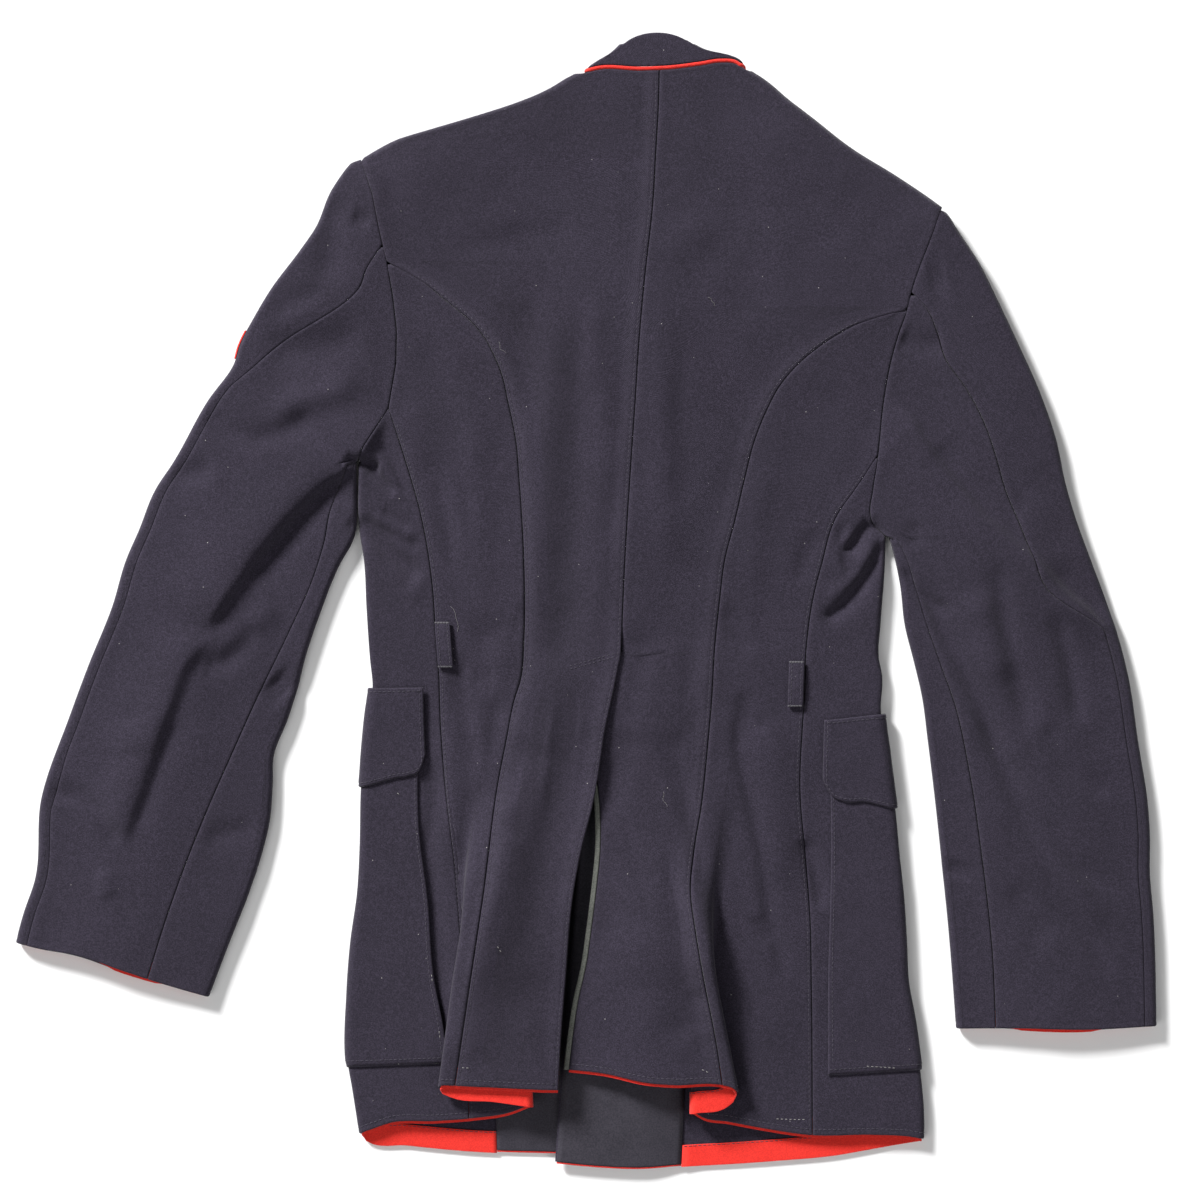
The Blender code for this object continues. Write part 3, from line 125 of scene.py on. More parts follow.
# The broad folds that the solid has too: points (X, Y) along each, its height, and its spread to
# the left and right. Then the creases, which fade out at both ends.
FOLDS = (
    (((-190, 300), (-222, 230), (-262, 150), (-300, 60), (-330, -40), (-352, -150),
      (-375, -290)), 4.5, 40, 40),
    (((292, 265), (318, 200), (318, 100), (332, 0), (350, -110), (364, -220), (371, -340)),
     4.5, 40, 40),
    (((60, 430), (45, 200), (27, -41), (5, -200), (-18, -400)), 4.2, 62, 62),
    (((-120, 300), (-95, 235)), 3.0, 50, 50),
    (((165, 290), (195, 225)), 3.0, 50, 50),
    (((-165, 335), (-60, 375)), 3.0, 25, 25),
    (((262, 305), (165, 375)), 3.0, 25, 25),
    (((-25, -60), (-55, -180), (-80, -300)), 2.0, 18, 18),
    (((120, -60), (132, -170), (152, -330)), 1.8, 16, 16),
)
CREASES = (
    (((-22, 270), (-30, 190), (-34, 110), (-38, 20), (-44, -50)), 1.5, 9, 8),
    (((-4, 250), (-8, 160), (-12, 70), (-14, -20)), -1.4, 7, 8),
    (((16, 230), (14, 150), (10, 60), (6, -10)), 1.3, 7, 7),
    (((-60, 300), (-44, 215), (-40, 150)), -1.3, 12, 12),
    (((58, 250), (58, 160), (62, 70), (66, -20)), 1.5, 9, 9),
    (((76, 210), (76, 130), (78, 60)), -1.3, 8, 8),
    (((92, 290), (118, 260), (128, 215)), -1.2, 12, 10),
    (((-90, 190), (-88, 120), (-84, 40), (-82, -30)), 1.4, 8, 8),
    (((140, 120), (132, 60), (128, 0)), 1.4, 8, 8),
    (((-30, -88), (-52, -150), (-70, -222), (-84, -290), (-100, -335)), 1.6, 14, 14),
    (((-5, -70), (-20, -140), (-38, -215), (-52, -290)), -2.8, 12, 12),
    (((28, -78), (42, -140), (56, -200), (66, -270), (76, -340)), -3.5, 12, 12),
    (((50, -80), (66, -140), (84, -210), (98, -280), (108, -330)), 1.6, 12, 14),
    (((-58, 20), (-66, -40), (-76, -100)), 1.5, 9, 11),
    (((84, 30), (92, -30), (96, -90)), 1.4, 11, 9),
    (((-20, 60), (-24, 0), (-30, -60)), -1.4, 11, 11),
    (((12, 60), (10, 10), (2, -40)), 1.2, 9, 9),
    (((60, 60), (62, 0), (64, -60)), -1.4, 11, 11),
    (((-100, -70), (-104, -140), (-112, -220)), 2.8, 11, 9),
    (((146, -80), (152, -150), (158, -230)), 2.6, 11, 11),
    (((-102, 264), (-86, 281), (-66, 286), (-40, 289), (-16, 297), (3, 302)), -1.6, 8, 11),
    (((-186, 304), (-171, 298)), -2.3, 5, 5),
    (((-198, 325), (-201, 302), (-203, 272), (-214, 246)), -3.2, 9, 9),
    (((-255, 224), (-237, 233), (-214, 245), (-206, 253)), -1.8, 7, 5),
    (((-258, 188), (-237, 198), (-207, 202), (-171, 213)), -4.1, 12, 12),
    (((-257, 147), (-237, 154), (-204, 165), (-174, 174)), 3.3, 8, 8),
    (((-332, 95), (-316, 101), (-293, 103)), -2.9, 7, 7),
    (((-130, 216), (-122, 180), (-114, 147), (-100, 111)), -1.2, 8, 10),
    (((-142, 161), (-135, 134), (-126, 101)), 1.2, 10, 8),
    (((-73, 243), (-59, 213), (-48, 164), (-41, 128)), -1.1, 8, 11),
    (((-49, 243), (-30, 233), (-13, 236)), -0.9, 19, 19),
    (((7, 240), (4, 200), (3, 164)), 0.9, 6, 6),
    (((-155, 337), (-155, 305)), -0.9, 5, 5),
    (((54, 267), (77, 290), (93, 307)), 1.1, 8, 10),
    (((84, 241), (89, 201), (92, 165), (84, 122)), -1.5, 14, 11),
    (((107, 310), (136, 320)), -0.8, 11, 11),
    (((176, 333), (189, 274)), -0.7, 14, 14),
    (((268, 254), (284, 257)), -2.1, 11, 11),
    (((3, 247), (6, 201), (8, 162)), 0.8, 6, 6),
    (((163, 135), (176, 155), (189, 172)), -0.9, 13, 13),
    (((-250, -59), (-235, -75)), -3.0, 9, 9),
    (((-382, -210), (-378, -236)), 1.8, 5, 5),
    (((-365, -92), (-359, -121)), 1.4, 11, 11),
    (((-121, 107), (-114, 74), (-107, 44), (-105, 18)), -1.2, 5, 5),
    (((-110, 110), (-101, 64), (-96, 24)), 0.9, 4, 5),
    (((-95, -38), (-78, -28), (-62, -20), (-54, 4)), -1.9, 9, 8),
    (((-92, -60), (-72, -62)), -1.3, 7, 8),
    (((-97, -35), (-99, -65), (-95, -101), (-90, -130)), -2.1, 5, 7),
    (((-88, -84), (-81, -124), (-88, -157)), 2.1, 7, 7),
    (((-55, 4), (-60, -15), (-68, -35)), 0.7, 3, 3),
    (((-26, 3), (-12, -14), (-19, -38), (-34, -56)), -1.6, 11, 9),
    (((18, 100), (14, 60), (5, 21), (-6, -5)), -0.7, 7, 7),
    (((33, -51), (60, -59), (88, -68)), -2.0, 9, 11),
    (((106, -2), (119, -26), (133, -42)), -1.3, 5, 5),
    (((132, -2), (142, -28), (154, -39)), -0.7, 5, 5),
    (((121, -68), (127, -91), (144, -105)), -1.7, 5, 5),
    (((187, 60), (170, 34), (165, 8)), -1.3, 7, 5),
    (((-45, -101), (-59, -134), (-70, -167)), -2.7, 8, 8),
    (((-24, -68), (-32, -121), (-37, -170)), 0.9, 3, 3),
    (((-59, -194), (-70, -227), (-85, -266), (-93, -312), (-103, -358)), 0.9, 4, 11),
    (((-123, -121), (-120, -157), (-126, -197)), -1.8, 5, 5),
    (((-95, -378), (-78, -352)), -1.1, 8, 8),
    (((80, -217), (94, -266), (103, -319), (108, -358)), 1.8, 11, 5),
    (((66, -289), (70, -322), (67, -352)), -2.3, 8, 8),
    (((84, -302), (86, -342)), -2.1, 7, 7),
    (((7, -266), (34, -240)), -1.6, 9, 9),
    (((170, -181), (181, -210), (190, -241)), -1.4, 4, 4),
    (((135, -246), (142, -273)), -1.5, 5, 5),
    (((304, 14), (321, -25), (334, -68)), 3.7, 11, 11),
    (((319, 29), (330, -22), (343, -71), (353, -107)), -2.9, 7, 7),
    (((366, 1), (382, -55), (389, -103)), -1.8, 5, 5),
    (((362, 29), (390, 1), (413, -20)), -2.9, 11, 8),
    (((326, 50), (349, 35), (375, 1), (398, -12), (418, -29)), 1.8, 5, 7),
    (((260, 64), (256, 40)), -1.7, 4, 4),
    (((326, -161), (349, -210), (372, -246), (398, -276)), -1.8, 5, 7),
    (((332, -220), (359, -260), (364, -273)), -2.1, 7, 7),
    (((293, -204), (290, -220)), -1.9, 9, 9),
)
# The sharp folds under the arms, along the sleeves and down the skirt, deep nearly to their ends.
PINCHES = (
    (((-192, 112), (-177, 110), (-163, 106)), -6.0, 3, 3),
    (((-178, 119), (-166, 112), (-152, 94), (-150, 78)), 1.5, 4, 4),
    (((-174, 106), (-162, 95), (-151, 85)), -2.6, 3, 3),
    (((-165, 126), (-155, 113), (-147, 94), (-146, 80)), -1.3, 3, 3),
    (((-163, 72), (-140, 58)), -1.8, 3, 3),
    (((-180, 66), (-156, 54), (-130, 41)), -2.0, 3, 3),
    (((-168, 69), (-153, 59), (-136, 50)), 1.0, 4, 4),
    (((-190, 66), (-164, 48), (-155, 38), (-143, 29), (-130, 17)), -4.6, 5, 5),
    (((-134, 32), (-131, 14), (-141, 2)), 1.0, 4, 4),
    (((223, 65), (214, 53), (203, 38)), -5.5, 5, 2),
    (((224, 63), (235, 52)), -3.0, 3, 3),
    (((212, 58), (200, 44), (197, 30), (204, 18)), 1.2, 3, 3),
    (((202, 62), (200, 50), (201, 36), (207, 25), (216, 27)), -1.7, 3, 3),
    (((235, 50), (228, 34), (221, 22), (212, 9), (202, -3), (184, -16)), -5.0, 5, 3),
    (((226, 44), (216, 27), (203, 12), (188, 2)), 1.8, 4, 4),
    (((249, 27), (258, 12), (272, 0), (290, -8)), -2.4, 3, 5),
    (((-158, 152), (-183, 113), (-215, 91), (-240, 66), (-262, 40), (-285, 8), (-308, -27)),
     6.2, 4, 26),
    (((-190, 100), (-222, 72), (-245, 44), (-268, 16)), -3.2, 12, 6),
    (((-300, -22), (-321, -52), (-338, -100), (-353, -146), (-371, -194)), 4.6, 4, 18),
    (((-328, -92), (-344, -135), (-362, -180)), -1.8, 9, 5),
    (((-304, -50), (-288, -48), (-274, -36), (-262, -18)), -2.6, 6, 6),
    (((-306, -26), (-290, -36), (-270, -24), (-244, 0)), 2.0, 7, 7),
    (((-428, -151), (-402, -154), (-386, -166), (-370, -193)), -2.2, 6, 4),
    (((-304, 151), (-285, 136), (-262, 128), (-240, 134), (-214, 150)), -2.4, 6, 7),
    (((-302, -191), (-284, -182), (-262, -180)), -1.8, 6, 6),
    (((233, 157), (254, 140), (270, 115), (290, 89), (310, 64), (345, 36), (377, 5), (414, -25)),
     4.0, 4, 20),
    (((274, 124), (298, 98), (326, 80), (352, 74)), -1.6, 13, 13),
    (((252, 24), (270, 0), (286, -31), (306, -74), (330, -126), (357, -173), (385, -209),
      (424, -238)), -3.6, 7, 5),
    (((306, -82), (337, -157), (365, -217), (397, -268), (420, -302)), -2.6, 6, 5),
    (((322, -96), (350, -158), (378, -212), (410, -262)), 1.4, 6, 6),
    (((324, 38), (329, -19), (337, -62), (352, -112)), -1.5, 6, 6),
    (((372, -8), (381, -58), (388, -98)), -1.3, 6, 6),
    (((360, -96), (377, -130), (414, -154)), -1.5, 6, 6),
    (((246, 208), (262, 202), (282, 203)), -2.2, 7, 6),
    (((-72, -70), (-73, -104), (-83, -157), (-92, -200), (-96, -222)), -2.4, 6, 5),
    (((-36, -118), (-54, -157), (-64, -196), (-77, -236), (-88, -280), (-98, -328), (-106, -372)),
     1.6, 12, 5),
    (((-34, -112), (-48, -149), (-60, -190)), -1.8, 6, 6),
    (((-128, -172), (-122, -222), (-117, -282), (-112, -350)), -2.6, 5, 5),
    (((11, -122), (30, -157), (46, -201), (57, -233), (70, -264)), -3.2, 6, 7),
    (((34, -146), (54, -186), (73, -222), (88, -262), (97, -305)), 1.8, 8, 8),
    (((64, -86), (67, -125), (80, -170), (88, -202), (97, -238), (104, -276)), -3.0, 6, 6),
    (((120, -76), (119, -117), (128, -157), (137, -196), (144, -249), (158, -304)), -2.4, 6, 4),
    (((170, -186), (178, -214), (185, -244)), -2.2, 5, 4),
)


def read(table, at):
    """The second column of a table at a value of its first: cubic Hermite cells, whose slopes at
    the rows are the table's own central differences."""
    keys, values = np.array(sorted(table), dtype=float).T
    at = np.clip(np.asarray(at, dtype=float), keys[0], keys[-1])
    if len(keys) == 2:
        return np.interp(at, keys, values)
    slopes = np.gradient(values, keys)
    cell = np.clip(np.searchsorted(keys, at) - 1, 0, len(keys) - 2)
    width = keys[cell + 1] - keys[cell]
    t = (at - keys[cell]) / width
    return (values[cell] * (1 + 2 * t) * (1 - t) ** 2 + values[cell + 1] * t**2 * (3 - 2 * t)
            + width * (slopes[cell] * t * (1 - t) ** 2 + slopes[cell + 1] * t**2 * (t - 1)))


def armhole(side, y):
    """Distance across of the armhole: the left one's rows are joined by straight lines."""
    if side == "right":
        return read(ARMHOLE[side], y)
    keys, values = np.array(sorted(ARMHOLE[side]), dtype=float).T
    return np.interp(y, keys, values)


def ease(value, start, end):
    """0 at start, 1 at end, and 3t^2 - 2t^3 between them."""
    t = np.clip((np.asarray(value, dtype=float) - start) / (end - start), 0, 1)
    return t * t * (3 - 2 * t)


def between(value, low, high, soft):
    """1 from low to high, and 0 from soft outside them."""
    return ease(value, low - soft, low) * (1 - ease(value, high, high + soft))


def fold_height(x, y, path, height, left, right, fades=0.0):
    """height * exp(-d^2 / 2s^2), where d is the distance to the path and s the spread on that
    side, times a fade over the given share of the path at each end."""
    lengths = [math.dist(a, b) for a, b in zip(path, path[1:])]
    nearest, side, along = np.full(x.shape, np.inf), np.ones(x.shape), np.zeros(x.shape)
    passed = 0.0
    for (ax, ay), (bx, by), length in zip(path, path[1:], lengths):
        run_x, run_y = bx - ax, by - ay
        t = np.clip(((x - ax) * run_x + (y - ay) * run_y) / length**2, 0, 1)
        off_x, off_y = x - ax - t * run_x, y - ay - t * run_y
        away = np.hypot(off_x, off_y)
        closer = away < nearest
        nearest = np.where(closer, away, nearest)
        side = np.where(closer, run_x * off_y - run_y * off_x, side)
        along = np.where(closer, (passed + t * length) / sum(lengths), along)
        passed += length
    spread = np.where(side > 0, left, right)
    bell = height * np.exp(-0.5 * (nearest / spread) ** 2)
    return bell * ease(along, -0.01, fades) * (1 - ease(along, 1 - fades, 1.01)) if fades else bell


def centre_front(y):
    """Distance across of the centre front line, which is straight."""
    (x_top, y_top), (x_low, y_low) = CENTRE_FRONT
    return x_top + (np.asarray(y, dtype=float) - y_top) * (x_low - x_top) / (y_low - y_top)


def upper(x, y, creased=True):
    """Height of the middle of the upper layer: its level, the broad folds, the creases, and a slow
    wave sin(x/9 + ..) sin(y/17 + ..). All of it is held above the layers that lie below by
    h + s ln(1 + e^((z - h)/s))."""
    x, y = np.broadcast_arrays(np.asarray(x, dtype=float), np.asarray(y, dtype=float))
    height = TOP + sum(fold_height(x, y, *fold) for fold in FOLDS)
    if creased:
        height = height + sum(fold_height(x, y, *crease, CREASE_FADE) for crease in CREASES)
        height = height + sum(fold_height(x, y, *pinch, PINCH_FADE) for pinch in PINCHES)
    wave = np.sin(x / 9 + 2.2 * np.sin(y / 31)) * np.sin(y / 17 + 1.7 * np.sin(x / 23))
    past = x - centre_front(y)
    (left_from, left), (right, right_to) = FRONTS_LAP
    lapped = ease(past, left_from, left) * (1 - ease(past, right, right_to))
    lapped = lapped * between(y, *FRONTS_LAP_Y, 40)
    over_vent = LIFT_AT_VENT_TOP * between(y, *LIFTED_Y, 14)
    lowest = LOWEST + (LOWEST_AT_FRONT - LOWEST + over_vent) * lapped
    return lowest + np.logaddexp(0, (height + WAVE * wave - lowest) / HELD_SOFTLY) * HELD_SOFTLY


def skirt_fold(side, y):
    """The skirt's fold at a height: its start, its run, its turns' angle, and how high it stands,
    2r(1 - cos angle) + run * sin angle, where each turn keeps r * angle of cloth."""
    first, run, degrees = (read([(row[0], row[column]) for row in SKIRT_FOLD[side]], y)
                           for column in (1, 2, 3))
    angle = np.radians(np.maximum(degrees, 1.0))
    lift = 2 * FOLD_TURN[side] / angle * (1 - np.cos(angle)) + run * np.sin(angle)
    return first, run, angle, lift


def raised(side, x, y):
    """Height of a back panel: the upper layer, and the skirt fold's lift eased off to the vent."""
    seam = read(PRINCESS_SEAM[side], y)
    vent = read(VENT_OVERLAP if side == "left" else VENT_UNDERLAP, y)
    first, run, angle, lift = skirt_fold(side, y)
    cleared = 12 + np.abs(INTERIOR[side] * (first - seam) - run * np.cos(angle))
    share = 1 - (1 - RISE_AT_VENT[side]) * ease(np.abs(x - seam), cleared, np.abs(vent - seam))
    return upper(x, y) + lift * share


def turned(edge, inward, angle, reach):
    """Distance across of a turned edge: the angle is 90 on the upper layer, -90 on the lower."""
    return edge + inward * (CLOTH / 2 + reach * (1 - np.cos(np.radians(angle))))


def shoulder_reach(side, y):
    """How far in the shoulder's roll reaches, which is more where the shoulder slants."""
    slant = (read(SHOULDER[side], y + 2) - read(SHOULDER[side], y - 2)) / 4
    return ROLL * np.sqrt(1 + np.minimum(slant**2, 4))


def lean(table, y):
    """sqrt(1 + slope^2) of a seam, by which its near columns are set wider apart."""
    slope = (read(table, y + 1.5) - read(table, y - 1.5)) / 3
    return np.sqrt(1 + np.minimum(slope**2, 12))


def across(start, end, lean_start=1.0, lean_end=1.0, near_end=True):
    """Columns from one line to another: the first and last ones at the distances of NEAR, and the
    rest evenly between them."""
    count, near, column = start.shape[1], len(NEAR), np.arange(start.shape[1])
    tail = near if near_end else 1
    size = np.abs(end - start)
    first = np.minimum(lean_start, size / NARROW)
    last = np.minimum(lean_end, size / NARROW) * near_end
    from_start = NEAR[np.minimum(column, near - 1)] * first
    from_end = NEAR[np.minimum(count - 1 - column, near - 1)] * last
    share = np.clip((column - near + 1) / (count - near - tail + 1), 0, 1)
    middle = NEAR[-1] * first + share * (size - NEAR[-1] * (first + last))
    reach = np.where(count - 1 - column < tail - 1, size - from_end, middle)
    reach = np.where(column < near, from_start, reach)
    return start + np.sign(end - start) * reach


def settle(rows, columns, layout, slide):
    """X and Y of a panel's points, where rows slide to its ends and X follows the new Y."""
    y = np.repeat(rows[:, None], columns, axis=1)
    for _ in range(4):
        y = slide(rows[:, None], layout(y))
    return layout(y), y


def slide_to(rows, target):
    """Rows that slide from level, at the height SLIDE_Y, to the target line at the last row."""
    return rows + ease(-rows, -SLIDE_Y, -rows.min()) * (target - rows.min())


def normals(points):
    """Unit normals of a grid, from its central differences, up where its first columns lie."""
    normal = np.cross(np.gradient(points, axis=1), np.gradient(points, axis=0))
    length = np.linalg.norm(normal, axis=2, keepdims=True)
    normal = np.where(length > 1e-9, normal / np.maximum(length, 1e-9), (0.0, 0.0, 1.0))
    return normal * (1 if normal[:, :3, 2].mean() > 0 else -1)


DRAWN_BACK, DRESSED_TO = 0.18, 14.0  # how far a seam's points go back, and its form reaches
PUCKER = 0.15  # height of the ripples that the stitches pull up

# At each distance of NEAR from a seam or edge: how far the cloth stands above its own level, how
# rubbed it is, and how much of the stitches' pull it takes.
PLAIN = np.array(((-0.40, -0.12, 0.0, 0.09, 0.10, 0.06, 0.01), (0, 0, 0.2, 0.2, 0.1, 0, 0),
                  (0, 0, 0, 0, 0, 0, 0)))
STITCHED = np.array(((-0.40, -0.10, 0.05, -0.20, 0.14, 0.09, 0.02),
                     (0, 0, 0.3, 0.0, 0.2, 0.1, 0), (0, 0, 0.3, 1.0, 0.8, 0.5, 0.2)))
PRESSED = np.array(((-0.40, -0.08, 0.12, -0.18, 0.22, 0.28, 0.18),
                    (0, 0, 0.6, 0.2, 0.6, 0.6, 0.4), (0, 0, 0.3, 1.0, 0.8, 0.5, 0.2)))
HEMMED = np.array(((-0.15, 0.0, 0.02, 0.02, -0.14, 0.02, 0.06), (0.5, 0.4, 0.2, 0.1, 0.1, 0, 0),
                   (0, 0, 0, 0, 0, 0, 0)))


def from_edge(grid, edge):
    """A grid whose columns are counted inward from one of its edges."""
    grid = grid if edge in ("first", "last") else grid.swapaxes(0, 1)
    return grid[:, ::-1] if edge in ("last", "hem") else grid


def dressed(points, *edges):
    """A panel's grid with its seams and hems sunk and its allowances raised, square to itself, and
    with the pucker sin(y/1.4 + ..) of a topstitched seam. A seam's own points are drawn back
    from it. Returns the grid with its wear, 0 to 1."""
    y, normal, drawn_back = points[..., 1], normals(points), points.copy()
    relief, wear = np.zeros(y.shape), np.zeros(y.shape)
    pucker = PUCKER * np.sin(y / 1.4 + 1.6 * np.sin(y / 6.1)) * (0.6 + 0.4 * np.sin(y / 23))
    for edge, profile, rows in edges:
        grid, raised_by, rubbed_by = (from_edge(part, edge) for part in (points, relief, wear))
        away = np.zeros(grid.shape[:2])
        away[:, 1:] = np.cumsum(np.linalg.norm(np.diff(grid, axis=1), axis=2), axis=1)
        there = np.ones(len(grid)) if rows is None else np.asarray(rows, dtype=float)
        high, rubbed, pull = (np.interp(away, np.append(NEAR, DRESSED_TO), np.append(line, 0.0))
                              * there[:, None] for line in profile)
        raised_by += high + from_edge(pucker, edge) * pull
        rubbed_by[...] = np.maximum(rubbed_by, rubbed)
        if edge in ("first", "last"):
            back = np.cross(from_edge(normal, edge)[:, 0], np.gradient(grid[:, 0], axis=0))
            back /= np.linalg.norm(back, axis=1, keepdims=True)
            back *= np.sign(np.sum(back * (grid[:, 2] - grid[:, 0]), axis=1))[:, None]
            from_edge(drawn_back, edge)[:, 0] += DRAWN_BACK * back * there[:, None]
    return drawn_back + relief[..., None] * normal, wear


def built(name, places, faces, finish):
    """A smooth object of one material, from places in millimetres, on the garment's one body."""
    mesh = bpy.data.meshes.new(name)
    mesh.from_pydata(((places + CENTRED) * METRES).tolist(), [], faces)
    mesh.shade_smooth()
    mesh.materials.append(finish)
    made = bpy.data.objects.new(name, mesh)
    bpy.context.scene.collection.objects.link(made)
    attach(made, "root")
    return made


def cloth(name, points, finish, thickness=CLOTH, cells=None, wear=0.0, blunt=0.3):
    """A closed wall round a grid of middle points. Each point goes half the thickness out and in
    along its normal, and less on the two rings of points at a border, which rounds the edges. Its
    UV map is the length of cloth along and across the grid, in metres."""
    rows, columns = points.shape[:2]
    cells = np.ones((rows - 1, columns - 1), dtype=bool) if cells is None else cells
    number = np.arange(rows * columns).reshape(rows, columns)
    corners = np.stack([number[:-1, :-1], number[1:, :-1], number[1:, 1:], number[:-1, 1:]], -1)
    used, quads = np.unique(corners[cells], return_inverse=True)
    quads = quads.reshape(-1, 4)
    middle = points.reshape(-1, 3)[used]
    square = np.cross(middle[quads[:, 2]] - middle[quads[:, 0]],
                      middle[quads[:, 3]] - middle[quads[:, 1]])
    normal = np.zeros_like(middle)
    for corner in range(4):
        np.add.at(normal, quads[:, corner], square)
    normal /= np.linalg.norm(normal, axis=1, keepdims=True)
    sides = np.concatenate([quads[:, [i, (i + 1) % 4]] for i in range(4)])
    _, place, times = np.unique(np.sort(sides, axis=1), axis=0, return_index=True,
                                return_counts=True)
    border = sides[place[times == 1]]
    ring = np.full(len(middle), 2)
    ring[np.unique(quads[np.isin(quads, border).any(axis=1)])] = 1
    ring[border.ravel()] = 0
    half = thickness / 2 * np.array([blunt, 0.85, 1.0])[ring][:, None]
    rim = np.column_stack([border[:, 1], border[:, 0], border[:, 0] + len(middle),
                           border[:, 1] + len(middle)])
    faces = np.concatenate([quads, quads[:, ::-1] + len(middle), rim])
    places = np.concatenate([middle + normal * half, middle - normal * half])
    made = built(name, places, faces.tolist(), finish)
    length = np.zeros((rows, columns, 2))
    length[:, 1:, 0] = np.cumsum(np.linalg.norm(np.diff(points, axis=1), axis=2), axis=1)
    length[1:, :, 1] = np.cumsum(np.linalg.norm(np.diff(points, axis=0), axis=2), axis=0)
    length = np.tile(length.reshape(-1, 2)[used], (2, 1)) * METRES
    made.data.uv_layers.new(name="cloth").uv.foreach_set("vector", length[faces.ravel()].ravel())
    worn = np.tile(np.broadcast_to(wear, (rows, columns)).ravel()[used], 2).astype(np.float32)
    made.data.attributes.new("wear", "FLOAT", "POINT").data.foreach_set("value", worn)
    return made


def back_panel(side):
    """From the shoulder, armhole and princess seam to the centre seam and the vent's edge."""
    inward, last_roll = INTERIOR[side], ROLL_COLUMNS - 1
    angles = np.append(np.linspace(0, 90, ROLL_COLUMNS), np.full(BACK_COLUMNS - ROLL_COLUMNS, 90.0))
    shoulder_end, seam_top = SHOULDER[side][-1][0], PRINCESS_SEAM[side][0][0]
    rows = LEVELS[:, None]
    on_shoulder = rows > shoulder_end
    free = ease(shoulder_end - rows, 0, SHOULDER_EASE)

    def layout(y):
        seam = np.where(rows >= seam_top, armhole(side, y), read(PRINCESS_SEAM[side], y))
        leans = np.where(rows >= seam_top, 1.0, lean(PRINCESS_SEAM[side], y))
        vent = read(VENT_OVERLAP, y)
        if side == "right":
            vent = read(VENT_UNDERLAP, y) + BINDING_WIDTH + GAP
        centre = np.where(rows >= VENT_TOP_Y, read(CENTRE_SEAM, y) - inward * SEAM, vent)
        outer = np.where(on_shoulder, read(SHOULDER[side], y), seam + inward * (SEAM - CLOTH / 2))
        reach = shoulder_reach(side, np.maximum(y, shoulder_end))
        rolled = turned(outer, inward, angles, reach)
        rest = across(rolled[:, last_roll:], centre[:, last_roll:])
        rolled = np.concatenate([rolled[:, :last_roll], rest], axis=1)
        return rolled + free * (across(seam + inward * SEAM, centre, leans) - rolled)

    def slide(level_y, x):
        top = level_y.max()
        up = ease(level_y, NECK_LEVEL_Y, top) * (read(NECKLINE, x) - top)
        return slide_to(level_y, read(TOP_HEM[side], x[-1])) + up

    x, y = settle(LEVELS, BACK_COLUMNS, layout, slide)
    z = raised(side, x, y)
    if side == "right":  # the underlap lies a layer lower below the vent's top
        overlap = read(VENT_OVERLAP, y)
        beside = 1 - ease(x, overlap + UNDERLAP_EASE[0], overlap + UNDERLAP_EASE[1])
        z = z - UNDERLAP_DROP * between(y, UNDERLAP_LOW_Y, VENT_TOP_Y, 28) * beside
    middle = (z + REST) / 2 + SHOULDER_SEAM
    z = np.where(on_shoulder, middle + (z - middle) * np.sin(np.radians(angles)), z)
    return np.stack([x, y, z], axis=-1)


class Value:
    """A node's output. Arithmetic on it adds Math nodes."""

    def __init__(self, tree, socket):
        self.tree, self.socket = tree, socket

    def math(self, operation, *others):
        values = dict(enumerate((self, *others)))
        return node(self.tree, "ShaderNodeMath", {"operation": operation}, values)

    def __add__(self, other):
        return self.math("ADD", other)

    def __sub__(self, other):
        return self.math("SUBTRACT", other)

    def __rsub__(self, other):
        return (self * -1.0).math("ADD", other)

    def __mul__(self, other):
        return self.math("MULTIPLY", other)

    __radd__, __rmul__ = __add__, __mul__

    def over(self, low, high):
        """0 below low, 1 above high, and a smooth run between them."""
        return node(self.tree, "ShaderNodeMapRange", {"interpolation_type": "SMOOTHSTEP"},
                    {"Value": self, "From Min": low, "From Max": high})


def node(tree, kind, settings, sockets, output=0):
    """One node: its settings, then the values or links of its sockets. Returns one output."""
    made = tree.nodes.new(kind)
    for name, value in settings.items():
        setattr(made, name, value)
    for name, value in sockets.items():
        if isinstance(value, Value):
            tree.links.new(value.socket, made.inputs[name])
        else:
            made.inputs[name].default_value = value
    return Value(tree, made.outputs[output])


def finish_of(name, roughness, metallic=0.0, sheen=0.0, specular=0.3):
    """A new material, with its shader's fixed values and its Object coordinates."""
    made = bpy.data.materials.new(name)
    made.use_nodes = True
    shader = made.node_tree.nodes["Principled BSDF"]
    shader.inputs["Roughness"].default_value = roughness
    shader.inputs["Metallic"].default_value = metallic
    shader.inputs["Sheen Weight"].default_value = sheen
    shader.inputs["Sheen Roughness"].default_value = 0.45
    shader.inputs["Specular IOR Level"].default_value = specular
    place = node(made.node_tree, "ShaderNodeTexCoord", {}, {}, "Object")
    return made, made.node_tree, shader, place


def noise(tree, place, size, detail=2.0, rough=0.5):
    """Noise about 0.5 whose blotches are size millimetres across."""
    return node(tree, "ShaderNodeTexNoise", {}, {"Vector": place, "Scale": 1000 / size,
                                                 "Detail": detail, "Roughness": rough})


def mixed(tree, share, first, second):
    """A colour between two colours."""
    return node(tree, "ShaderNodeMix", {"data_type": "RGBA"},
                {0: share, 6: first, 7: second}, 2)


def bumped(tree, shader, height, distance, strength=1.0):
    """Feeds a height, 0 to 1, to the shader's normal as relief of a distance in millimetres."""
    bump = node(tree, "ShaderNodeBump", {}, {"Height": height, "Strength": strength,
                                             "Distance": distance * METRES})
    tree.links.new(bump.socket, shader.inputs["Normal"])


